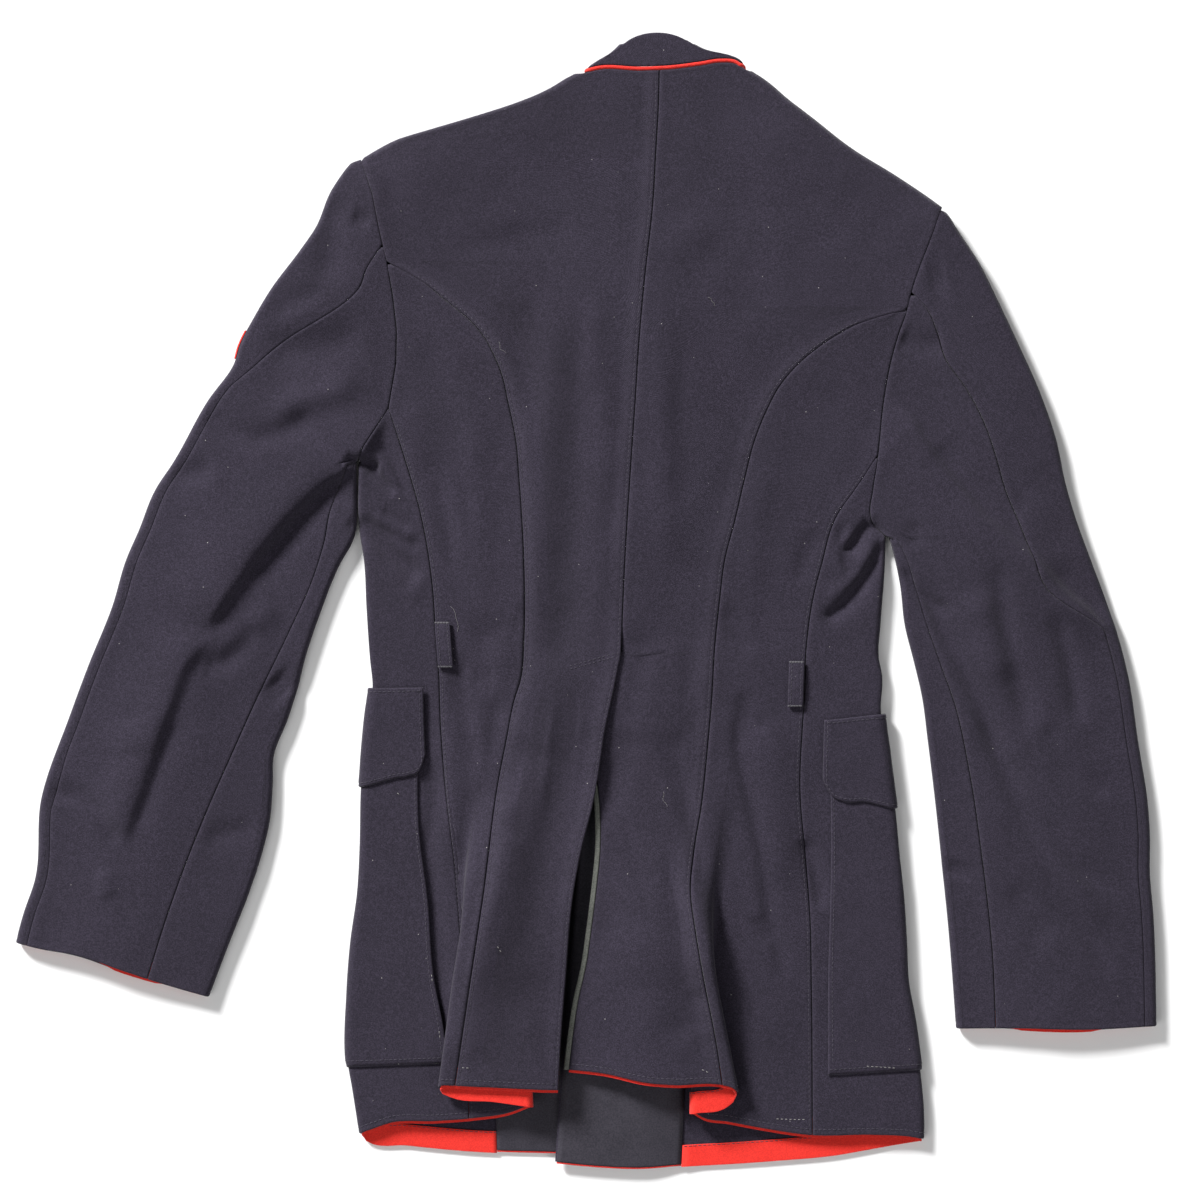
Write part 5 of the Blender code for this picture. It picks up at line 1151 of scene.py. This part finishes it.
# ---- The red hem bands, the facings and the vent's binding -----------------------------------
# A band of bright red cloth is stitched inside the hem so that its folded edge shows below the
# wool. Dark facings line the two front edges, and grey tape binds the vent's underlap.

FACING_TOP_Y, FACING_COLUMNS, HEM_ROWS = -130.0, 24, 14
FACING_EDGE_X = {"left": -71.5, "right": 74.0}  # where the facing ends and the red band starts
FACING_END_X = {"left": -8.0, "right": -24.5}  # where the facing stops
BAND_LINES = np.array([-2.2, -2.0, -1.4, -0.4, 2.0, 5.0, 8.0, 11.0, 12.6, 14.0, 14.7, 15.0])
VENT_HELD_Y, BINDING_THICK, HEM_CORD_RADIUS = -53.0, 2.0, 0.65


def inner_side(points):
    """Unit normals of a band's grid, whose lines run up from the hem."""
    normal = np.cross(np.gradient(points, axis=1), np.gradient(points, axis=0))
    return normal / np.linalg.norm(normal, axis=2, keepdims=True)


def hem_band(side, ends, lines, inset):
    """Lines at set distances up from a hem, along its panels' own rows, moved to their inner
    side."""
    parts = []
    for grid in ends:
        hem, above = grid[-1], grid[-9]  # eight rows up, past where the hem's rows draw together
        up = (above - hem) / np.linalg.norm(above - hem, axis=1, keepdims=True)
        parts += [hem[None] + lines[:, None, None] * up[None]]
    points = np.concatenate(parts, axis=1)
    apart = np.linalg.norm(np.diff(points[0], axis=0), axis=1) > 0.45
    points = points[:, np.concatenate([[True], apart])]
    return points + INTERIOR[side] * inset * inner_side(points)


def facing(side, front):
    """A facing on a front's inner face, on the front's own columns, down to the hem."""
    top = np.interp(-FACING_TOP_Y, -front[:, -1, 1], np.arange(len(front)))
    rows = np.append(top, np.arange(math.ceil(top + 0.3), len(front)))
    flat = np.arange(STRIP + TURN, front.shape[1])
    reach = INTERIOR[side] * front[-1, flat, 0]
    first = np.interp(INTERIOR[side] * FACING_EDGE_X[side], reach, flat)
    last = np.interp(INTERIOR[side] * FACING_END_X[side], reach, flat)
    grid = on_grid(front, rows[:, None], np.linspace(first, last, FACING_COLUMNS))
    return grid + (0, 0, (CLOTH + TRIM) / 2 + GAP + 0.15)


def faced(name, dark, light):
    """Plain dark lining cloth: a fine even weave with a low sheen."""
    made, tree, shader, place = finish_of(name, 0.72, sheen=0.1)
    weave = node(tree, "ShaderNodeUVMap", {"uv_map": "cloth"}, {})
    warp, weft = (along_weave(tree, weave, way) for way in ((1000.0, 0.0, 0.0), (0.0, 1000.0, 0.0)))
    threads = (warp * 9.0).math("SINE") * (weft * 9.0).math("SINE") * 0.5 + 0.5
    clouds, fuzz = noise(tree, place, 18.0), noise(tree, place, 1.1)
    tone = clouds * 0.25 + fuzz * 0.75
    tree.links.new(mixed(tree, tone.over(0.3, 0.7), (*dark, 1), (*light, 1)).socket,
                   shader.inputs["Base Color"])
    bumped(tree, shader, threads * 0.4 + fuzz * 0.4, 0.15)
    return made


def tube(name, path, radius, finish, sides=10):
    """A round cord along a path: p = path + radius (cos a side + sin a up), closed at both
    ends."""
    along = np.gradient(path, axis=0)
    along /= np.linalg.norm(along, axis=1, keepdims=True)
    side = np.cross(along, (0.0, 0.0, 1.0))
    side /= np.linalg.norm(side, axis=1, keepdims=True)
    angle = np.arange(sides) * (2 * math.pi / sides)
    radius = np.broadcast_to(radius, len(path))[:, None, None]
    places = (path[:, None] + radius * (np.cos(angle)[:, None] * side[:, None]
                                        + np.sin(angle)[:, None] * np.cross(side, along)[:, None]))
    ring = np.arange(sides)
    caps = [ring[::-1].tolist(), (ring + sides * (len(path) - 1)).tolist()]
    made = built(name, places.reshape(-1, 3), ring_faces(sides, len(path)).tolist() + caps, finish)
    made.data.uv_layers.new(name="cloth")
    return made


dark = faced("dark facing", (0.017, 0.015, 0.023), (0.036, 0.032, 0.044))
tape = faced("binding tape", (0.075, 0.080, 0.070), (0.150, 0.156, 0.140))
inset = (CLOTH + TRIM) / 2 + GAP

for side in ("left", "right"):
    inward, front = INTERIOR[side], fronts[side]
    flat = np.arange(STRIP + TURN, front.shape[1])
    edge = FACING_EDGE_X[side] - inward * GAP
    cut = np.interp(inward * edge, inward * front[-1, flat, 0], flat)
    columns = np.append(np.arange(math.floor(cut - 0.2) + 1), cut)
    kept = on_grid(front, np.arange(float(len(front) - HEM_ROWS), len(front))[:, None], columns)
    ends = [backs[side][-HEM_ROWS:, ::-1], side_backs[side][-HEM_ROWS:], kept]
    band = hem_band(side, ends, BAND_LINES, inset)
    made = cloth(f"hem_band_{side}_cloth", band, red, TRIM, blunt=0.8)
    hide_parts(f"hem_band_{side}")
    out = inner_side(band) * inward
    row = np.full(band.shape[1], 9.0)
    at = np.arange(band.shape[1], dtype=float)
    sewn(f"hem_band_{side}_stitches",
         [(on_grid(band + (TRIM / 2 + 0.02) * out, row, at), on_grid(out, row, at))], navy_thread)
    made = cloth(f"front_facing_{side}_cloth", facing(side, front), dark, TRIM)
    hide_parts(f"front_facing_{side}")

    # The folded edge of the red cloth shows as a cord along the facing's foot.
    line = facing(side, front)[-1, ::-1] + (0, -HEM_CORD_RADIUS - 0.1, -0.6)
    tube(f"hem_cord_{side}", line, HEM_CORD_RADIUS, red, sides=8)

edge = backs["right"][backs["right"][:, -1, 1] < VENT_HELD_Y + 6][:, -1]
bound = np.repeat(edge[:, None], 9, axis=1)
bound[..., 0] -= GAP + BINDING_WIDTH * np.array([0, 0.08, 0.2, 0.35, 0.5, 0.65, 0.8, 0.92, 1.0])
made = cloth("vent_binding_tape", bound, tape, BINDING_THICK, blunt=0.35)
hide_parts("vent_binding")

# ---- The cuff bands --------------------------------------------------------------------------
# The same red band lies inside each cuff, and shows only as a sliver where the cuff gapes.

CUFF_LINES = np.array([0.0, 0.5, 1.5, 4.0, 8.0, 12.0, 13.5, 14.0])
CUFF_INSIDE = 0.9  # how far inside the cuff its edge lies
# From which X to which the edge shows, and how far it hangs out there.
CUFF_SHOWS = {"left": (-372, -344, 1.0), "right": (345, 398, 0.9)}
for side in ("left", "right"):
    ends = [top_sleeves[side][-HEM_ROWS:], under_sleeves[side][-HEM_ROWS:, ::-1]]
    band = hem_band(side, ends, CUFF_LINES, inset)[:, :-1]
    low, high, shows = CUFF_SHOWS[side]
    drop = (CUFF_INSIDE + shows) * between(band[0, :, 0], low, high, 14) - CUFF_INSIDE
    band[..., 1] -= drop * (1 - CUFF_LINES / CUFF_LINES[-1])[:, None]
    made = cloth(f"cuff_band_{side}_cloth", band, red, TRIM, blunt=0.8)
    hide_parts(f"cuff_band_{side}")

# ---- The skirt pockets and their flaps -------------------------------------------------------
# Patch pockets of the same wool wrap round the side edges, each under a flap with round corners.
# Both are topstitched close to their edges, and the pocket's hem is turned up.

POCKET_FREE_EDGE = {
    "left": ((-88, -134), (-130, -134), (-180, -133), (-236, -126), (-297, -121), (-339, -113),
             (-380, -109)),
    "right": ((-112, 191), (-150, 192), (-226, 192), (-258, 191), (-299, 190), (-373, 190)),
}
POCKET_HEM = {"left": ((-190, -368), (-114, -365)), "right": ((190, -374.5), (266, -370))}
POCKET_REACH = 84.0  # how far round underneath it goes
POCKET_WIDEST_Y, POCKET_ROWS, FREE_COLUMNS = -230.0, 100, 24
FLAP_CORNER, FLAP_MEAN_DEPTH, FLAP_EDGE_Y = 11, 76, -90  # and where the side edge is taken
FLAP_WIDTH = {"left": 150.0, "right": 160.0}
FLAP_DEPTH = {
    "left": ((0, 50), (4, 63), (12, 69), (22, 71), (35, 75), (60, 84), (78, 90), (98, 84),
             (122, 76), (138, 68), (146, 60), (150, 48)),
    "right": ((0, 46), (5, 58), (14, 65), (30, 67), (46, 73), (66, 82), (85, 88), (107, 82),
              (131, 74), (148, 66), (156, 58), (160, 46)),
}
POCKET_CREASES = {
    "left": (((-167, -197), (-177, -227)), -0.8, 4, 4),
    "right": (((207, -245), (234, -266), (252, -280)), -0.9, 6, 7),
}


def pocket(side, front):
    """A skirt pocket, on the front's own points moved out, round the side edge."""
    inward = INTERIOR[side]
    line = front[np.searchsorted(-front[:, STRIP, 1], -POCKET_WIDEST_Y)]
    reach = np.append(0, np.cumsum(np.linalg.norm(np.diff(line[STRIP + TURN:], axis=0), axis=1)))
    last = STRIP + TURN + int(np.searchsorted(reach, POCKET_REACH))
    columns = np.concatenate([np.zeros(FREE_COLUMNS), np.arange(STRIP - 1, last + 1.0)])
    tops = np.interp(-POCKET_TOP_Y[side], -front[:, STRIP, 1], np.arange(len(front)))
    lows = np.stack([np.interp(-read(POCKET_HEM[side], front[-20, c, 0]), -front[:, c, 1],
                               np.arange(len(front))) for c in range(front.shape[1])])
    down = np.linspace(0, 1, POCKET_ROWS)[:, None]
    near = lows[np.where(columns > 0, columns, STRIP // 2).astype(int)]
    rows = tops + down * (near - tops)
    strip_x, strip_y = front[:, :STRIP + 1, 0], front[:, STRIP // 2, 1]
    free_x = read(POCKET_FREE_EDGE[side], strip_y)
    number = np.arange(STRIP + 1)
    free = np.array([np.interp(-inward * x, -inward * xs, number) for x, xs in zip(free_x, strip_x)])
    start = np.interp(rows[:, :FREE_COLUMNS], np.arange(len(front)), free)
    share = np.append(NEAR[:5] / 40, np.linspace(0.15, 1, FREE_COLUMNS - 4)[:-1])
    places = np.repeat(columns[None], len(rows), axis=0)
    places[:, :FREE_COLUMNS] = start + share * (STRIP - 1 - start)
    rows = tops + down * (np.interp(places[-1], np.arange(front.shape[1]), lows) - tops)
    grid = on_grid(front, rows, places)
    return grid + LAYER * on_grid(normals(front), rows, places)


def flap(side, front):
    """A pocket flap over the pocket, with round corners and a lower middle."""
    inward, width = INTERIOR[side], FLAP_WIDTH[side]
    corner = FLAP_TOP[side][1] if side == "left" else FLAP_TOP[side][0]
    number = np.arange(front.shape[1])
    row = np.interp(-(corner[1] - 30), -front[:, STRIP, 1], np.arange(len(front)))
    line = on_grid(front, row, number)
    free = np.interp(-inward * corner[0], -inward * line[:STRIP + 1, 0], number[:STRIP + 1])
    reach = np.append(0, np.cumsum(np.linalg.norm(np.diff(line, axis=0), axis=1)))
    reach -= np.interp(free, number, reach)
    inner = reach[(reach > FLAP_CORNER) & (reach < width - FLAP_CORNER)]
    around = np.concatenate([NEAR, inner, width - NEAR[::-1]])
    columns = np.interp(around, reach, number)
    depth = read(FLAP_DEPTH[side], around)
    turn = np.interp(STRIP + TURN / 2, number, reach)
    flat_x = read(BODY_EDGE[side], FLAP_EDGE_Y) + inward * np.abs(around - turn)
    near = NEAR / FLAP_MEAN_DEPTH
    share = np.concatenate([near, np.linspace(0.16, 0.84, 22), 1 - near[::-1]])
    y = read(FLAP_TOP[side], flat_x) - share[:, None] * depth
    rows = np.interp(-y, -front[:, STRIP, 1], np.arange(len(front)))
    columns = columns[None] + 0 * rows
    grid = on_grid(front, rows, columns)
    return grid + (2 * LAYER + 0.1) * on_grid(normals(front), rows, columns)


for side in ("left", "right"):
    front = smooth_fronts[side]
    grid = pocket(side, front)
    crease = fold_height(grid[..., 0], grid[..., 1], *POCKET_CREASES[side], 0.3)
    grid[..., 2] += np.maximum(crease, -0.2) * (grid[..., 2] > 6)
    shown, wear = dressed(grid, ("first", HEMMED, None), ("hem", HEMMED, None))
    faces[f"pocket_{side}"] = shown
    made = cloth(f"pocket_{side}_cloth", shown, navy, wear=wear)
    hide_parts(f"pocket_{side}")
    lines = [line_on(shown, np.arange(2.0, len(shown) - 3), 3.0), hem_line(shown, 2.6)]
    grid = flap(side, front)
    shown, wear = dressed(grid, ("first", STITCHED, None), ("last", STITCHED, None),
                          ("hem", STITCHED, None), ("top", HEMMED, None))
    made = cloth(f"flap_{side}_cloth", shown, navy, wear=wear)
    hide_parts(f"flap_{side}")
    lines += [line_on(shown, np.arange(1.0, len(shown) - 4), 3.4), hem_line(shown, 4.4, 3.0),
              line_on(shown, 3.4, np.arange(3.0, shown.shape[1] - 3))]
    sewn(f"pocket_{side}_stitches", lines, navy_thread)

# ---- The belt loops --------------------------------------------------------------------------
# Short straps of doubled wool over the side seams at the waist, edge-stitched down both sides and
# held at each end by a pale bar tack.

BELT_LOOP = {"left": (-113.4, -34.0), "right": (164.7, -65.0)}  # centre X and Y
LOOP_WIDTH, LOOP_LENGTH, LOOP_THICK, LOOP_BOW = 12.0, 35.0, 2.0, 1.2
LOOP_STITCH_X = 3.9  # how far from its middle its stitches lie in their grooves
LOOP_STITCH_COLUMNS, LOOP_STITCH_LIFT = (2.9, 8.1), 1.05
LOOP_TACK_ROWS, LOOP_TACK_LIFT = (0.6, 1.4, 22.6, 21.8), 1.1
pale_thread = threaded("pale thread", (0.070, 0.066, 0.075))
for side in ("left", "right"):
    centre_x, centre_y = BELT_LOOP[side]
    first = NEAR[:4] / LOOP_LENGTH
    along = np.concatenate([first, np.linspace(0.12, 0.88, 16), 1 - first[::-1]])[:, None]
    first = NEAR[:4] / LOOP_WIDTH
    over = np.concatenate([first, np.linspace(0.3, 0.7, 4), 1 - first[::-1]])
    y = centre_y + LOOP_LENGTH * (0.5 - along)
    seam_x = centre_x + read(SIDE_SEAM[side], y) - read(SIDE_SEAM[side], centre_y)
    x = seam_x + LOOP_WIDTH * (over - 0.5)
    lowest = np.max(upper(x, y + 0 * x), axis=1, keepdims=True)
    bow = LOOP_BOW * np.sin(np.pi * along) ** 0.5
    z = lowest + CLOTH / 2 + GAP + LOOP_THICK / 2 + 0.35 + bow
    from_stitch = np.abs(over - 0.5) * LOOP_WIDTH - LOOP_STITCH_X
    z = z - 0.22 * np.exp(-0.5 * (from_stitch / 0.6) ** 2)
    grid = np.stack([x, y + 0 * x, z + 0 * x], axis=-1)
    made = cloth(f"belt_loop_{side}_strap", grid, navy, LOOP_THICK, wear=0.35, blunt=0.5)
    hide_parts(f"belt_loop_{side}")
    rows = np.arange(1.0, len(grid) - 1)
    lines = [line_on(grid, rows, column, LOOP_STITCH_LIFT) for column in LOOP_STITCH_COLUMNS]
    sewn(f"belt_loop_{side}_stitches", lines, navy_thread, length=2.4, pitch=3.0)
    columns = np.linspace(0.2, 10.8, 12)
    ends = [line_on(grid, row, columns, LOOP_TACK_LIFT) for row in LOOP_TACK_ROWS]
    sewn(f"belt_loop_{side}_tacks", ends, pale_thread, length=2.6, pitch=2.2, radius=0.32)

# ---- The collar and its piping ---------------------------------------------------------------
# A standing collar of the wool, pressed flat under its own fold, joined to the neck over a cord
# covered in the red cloth.

COLLAR_LEAN = {"left": 26.0, "right": 39.5}  # how far in each side of its edge stands
COLLAR_BELLY, COLLAR_SINK = 2.2, 1.5
COLLAR_EDGE_Y, COLLAR_DROP, COLLAR_PEAK = 440.3, 56.0, 9.0  # its edge at the sides, front, back
COLLAR_HEIGHT, PIPING_RADIUS = 28, 1.55


def collar_points(heights, outset, fine=7):
    """Points round the collar from the front's centre on the left, over the back, to the right.
    A height of 0 is its seam and 1 its upper edge. The outset moves a line out past the seam. The
    front and back are half ellipses, and quarter turns of the roll's radius join them."""
    front = np.radians(np.linspace(87, 0, 4 * fine))
    back = np.radians(np.linspace(90, -90, 10 * fine))
    h = np.asarray(heights, dtype=float)[:, None]
    belly = COLLAR_BELLY * np.sin(np.pi * h)
    left = NECK_X - NECK_HALF_WIDTH - outset + COLLAR_LEAN["left"] * h + belly
    right = NECK_X + NECK_HALF_WIDTH + outset - COLLAR_LEAN["right"] * h - belly
    centre, half = (left + right) / 2, (right - left) / 2
    edge_z = upper(NECK_X, 430.0) - COLLAR_SINK

    def front_part(sign, angles):
        x = centre + sign * half * np.cos(angles)
        seam_y = NECK_Y - (NECK_DROP + outset) * np.sin(angles)
        y = seam_y * (1 - h) + (COLLAR_EDGE_Y - COLLAR_DROP * np.sin(angles)) * h
        low = under("left" if sign < 0 else "right", x, y)
        return np.stack([x, y, low * (1 - h) + (REST + 0.2) * h], axis=-1)

    x = centre - half * np.sin(back)
    seam_y = read(NECKLINE, x) + PIPING_ROOM - outset
    edge_y = COLLAR_EDGE_Y - np.sin(np.pi * h) + COLLAR_PEAK * np.cos(back) ** 1.5
    y = seam_y * (1 - h) + edge_y * h
    over = np.stack([x, y, upper(x, y) * (1 - h) + edge_z * h], axis=-1)

    def turn(edge_x, sign, low_end, high_end):
        angles = np.radians(np.linspace(-90, 90, fine + 2)[1:-1])
        share = (1 + np.sin(angles)) / 2
        x = edge_x + sign * (ROLL - 0.5) * np.cos(angles)
        y, z = (low_end[:, axis, None] * (1 - share) + high_end[:, axis, None] * share
                for axis in (1, 2))
        return np.stack([x, y, z], axis=-1)

    first, last = front_part(-1, front), front_part(1, front[::-1])
    turn_left = turn(left, -1, first[:, -1], over[:, 0])
    turn_right = turn(right, 1, last[:, 0], over[:, -1])[:, ::-1]
    return np.concatenate([first, turn_left, over, turn_right, last], axis=1)


near = NEAR[:6] / COLLAR_HEIGHT
heights = np.concatenate([near, np.linspace(0.28, 0.72, 8), 1 - near[::-1]])
grid = collar_points(heights, 0.0)
made = cloth("collar_stand", grid, navy, wear=0.25 * ease(heights, 0.8, 1.0)[:, None])
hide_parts("collar")

# The cord keeps to the middle of its room, and is drawn in where the seam turns at both sides.
path = collar_points([0.0], PIPING_ROOM / 2 + 0.05)[0]
path[:, 0] -= 1.6 * ease(path[:, 0], 114, 124) - 0.8 * ease(-path[:, 0], -6, 2)
path[:, 2] = np.maximum(path[:, 2], PIPING_RADIUS + 0.25)
made = tube("collar_piping_cord", path, PIPING_RADIUS, red)
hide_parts("collar_piping")

# ---- The buttons -----------------------------------------------------------------------------
# Five plain domed brass buttons close the fronts. They lie face down here, each with a rolled rim
# and a flat back.

brass, tree, shader, place = finish_of("plain brass", 0.3, metallic=1.0, specular=0.5)
dull = noise(tree, place, 2.5, 3.0)
colour = mixed(tree, dull.over(0.35, 0.7), (0.75, 0.52, 0.20, 1), (0.52, 0.35, 0.13, 1))
tree.links.new(colour.socket, shader.inputs["Base Color"])
tree.links.new((dull * 0.3 + 0.18).socket, shader.inputs["Roughness"])
BUTTON_SIDES = 48
# Columns: radius and height, from the flat back out round the rim and in over the dome.
BUTTON_PROFILE = np.array([(5, 3.2), (8.6, 3.1), (9.6, 2.8), (10, 2.2), (9.9, 1.6), (9.4, 1.25),
                           (8.7, 1.3), (8.3, 1.15), (7, 0.72), (5, 0.32), (2.6, 0.08)])
around = np.arange(BUTTON_SIDES) * (2 * math.pi / BUTTON_SIDES)
spun = BUTTON_PROFILE[:, None, :1] * np.stack([np.cos(around), np.sin(around)], -1)[None]
high = np.broadcast_to(BUTTON_PROFILE[:, None, 1:], spun.shape[:2] + (1,))
turned_disc = np.concatenate([spun, high], axis=-1).reshape(-1, 3)
turned_disc = np.concatenate([turned_disc, [(0, 0, BUTTON_THICK), (0, 0, 0)]])
end = BUTTON_SIDES * (len(BUTTON_PROFILE) - 1)
pairs = [(i, (i + 1) % BUTTON_SIDES) for i in range(BUTTON_SIDES)]
disc_faces = ring_faces(BUTTON_SIDES, len(BUTTON_PROFILE))[:, [0, 3, 2, 1]].tolist()
disc_faces += [[i, j, end + BUTTON_SIDES] for i, j in pairs]
disc_faces += [[end + j, end + i, end + BUTTON_SIDES + 1] for i, j in pairs]
for number, y in enumerate(BUTTON_Y, 1):
    places = turned_disc + (float(centre_front(y)), y, 0)
    made = built(f"button_{number}_brass", places, disc_faces, brass)
    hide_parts(f"button_{number}")

# ---- The vent's tacks, the marks and the hairs -----------------------------------------------
# Two slanted rows of stitches hold the vent's overlap. Pale thread ends and chalky stitches show
# at the hems, and a few hairs and threads of lint lie on the wool.


def on_top(side, x, y, lift=0.1):
    """Points on a back panel's outer face."""
    x, y = np.asarray(x, dtype=float), np.asarray(y, dtype=float)
    return np.stack([x, y, raised(side, x, y) + CLOTH / 2 + lift], axis=-1)


TACK_START, TACK_END_X, TACK_SLOPE, TACK_APART = (-14.6, -51.0), 21.5, 0.28, 2.6
x = np.linspace(TACK_START[0], TACK_END_X, 40)
y = TACK_START[1] + (x - TACK_START[0]) * TACK_SLOPE
rows = [on_top("left", x, y - drop) for drop in (0, TACK_APART)]
sewn("vent_tack_stitches", [(row, np.zeros_like(row) + (0, 0, 1)) for row in rows], navy_thread)

# Columns: the panel that each mark lies on, and its two ends' X and Y.
MARKS = (("pocket_right", 221, -367.7, 244, -367.9), ("side_back_right", 149, -408, 174, -409),
         ("side_back_right", 191, -399, 197, -401), ("pocket_left", -123.4, -294, -122.8, -301),
         ("pocket_left", -117.2, -338, -116.6, -345), ("pocket_left", -151, -152, -147, -154),
         ("back_left", -71, -271, -68, -275), ("back_left", -100, -366, -94, -367.5),
         ("back_right", 90, -369, 97, -370))
lines = []
for panel, x, y, end_x, end_y in MARKS:
    grid = faces[panel]
    below = 99 * (grid[..., 2] < 6)  # keeps the nearest points to the upper layer
    ends = [np.unravel_index(np.argmin(np.hypot(grid[..., 0] - at_x, grid[..., 1] - at_y) + below),
                             below.shape) for at_x, at_y in ((x, y), (end_x, end_y))]
    rows, columns = np.linspace(*ends, 12).T
    lines += [line_on(grid, rows, columns)]
lint = threaded("lint", (0.16, 0.155, 0.15))
sewn("chalky_stitches", lines, lint, length=1.9, pitch=3.4, radius=0.30)

HAIR_RADIUS = 0.09
# Columns: start X and Y, end X and Y, sideways bow, and the panel that it lies on.
HAIRS = ((-108, -4, -103, -24, 2.4, "left"), (-70, 205, -64, 196, -1.6, "left"),
         (95, 240, 100, 233, 1.4, "right"), (60, -150, 63, -162, -1.4, "right"))
for number, (x, y, end_x, end_y, bow, side) in enumerate(HAIRS, 1):
    t = np.linspace(0, 1, 15)
    size = math.hypot(end_x - x, end_y - y)
    bend = bow * np.sin(np.pi * t) + 0.6 * np.sin(3 * np.pi * t)
    line = on_top(side, x + t * (end_x - x) - bend * (end_y - y) / size,
                  y + t * (end_y - y) + bend * (end_x - x) / size, 0.25)
    tube(f"hair_{number}", line, HAIR_RADIUS, lint, sides=5)

# ---- The studio ------------------------------------------------------------------------------
# A pale floor, large soft lights from above and behind the collar, and a camera straight above.

FLOOR_REACH, FLOOR_GREY, SKY_STRENGTH = 6, 0.92, 0.14
floor_mesh = bpy.data.meshes.new("studio_floor")
corners = [(FLOOR_REACH * x, FLOOR_REACH * y, 0) for x, y in ((-1, -1), (1, -1), (1, 1), (-1, 1))]
floor_mesh.from_pydata(corners, [], [(0, 1, 2, 3)])
floor = bpy.data.objects.new("studio_floor", floor_mesh)
bpy.context.scene.collection.objects.link(floor)
pale, _, shader, _ = finish_of("pale floor", 0.9)
shader.inputs["Base Color"].default_value = (FLOOR_GREY, FLOOR_GREY, FLOOR_GREY, 1)
floor_mesh.materials.append(pale)


def softbox(name, place, size, power):
    """A square area light at a place, turned to the garment's middle."""
    data = bpy.data.lights.new(name, "AREA")
    data.size, data.energy = size, power
    light = bpy.data.objects.new(name, data)
    light.location = place
    light.rotation_mode = "QUATERNION"
    light.rotation_quaternion = (-Vector(place)).to_track_quat("-Z", "Y")
    bpy.context.scene.collection.objects.link(light)


softbox("key light", (-5.4, 6.6, 4.0), size=2.0, power=2150)
softbox("right light", (3.2, -1.2, 3.0), size=2.4, power=50)
softbox("low light", (-1.6, -1.8, 2.2), size=2.0, power=30)
world = bpy.data.worlds.new("studio")
world.use_nodes = True
world.node_tree.nodes["Background"].inputs["Color"].default_value = (1, 1, 1, 1)
world.node_tree.nodes["Background"].inputs["Strength"].default_value = SKY_STRENGTH
bpy.context.scene.world = world
bpy.context.scene.view_settings.view_transform = "Standard"

# In metres: how wide the view is at the garment's height, its middle, and the camera's height.
VIEW_WIDTH, VIEW_CENTRE, VIEW_HEIGHT, CAMERA_HEIGHT = 0.948, (0.01092, 0.00025), 0.010, 3.2
lens = bpy.data.cameras.new("camera above")
lens.sensor_width = 36.0
lens.lens = lens.sensor_width * (CAMERA_HEIGHT - VIEW_HEIGHT) / VIEW_WIDTH
camera = bpy.data.objects.new("camera above", lens)
camera.location = (*VIEW_CENTRE, CAMERA_HEIGHT)
bpy.context.scene.collection.objects.link(camera)
bpy.context.scene.camera = camera
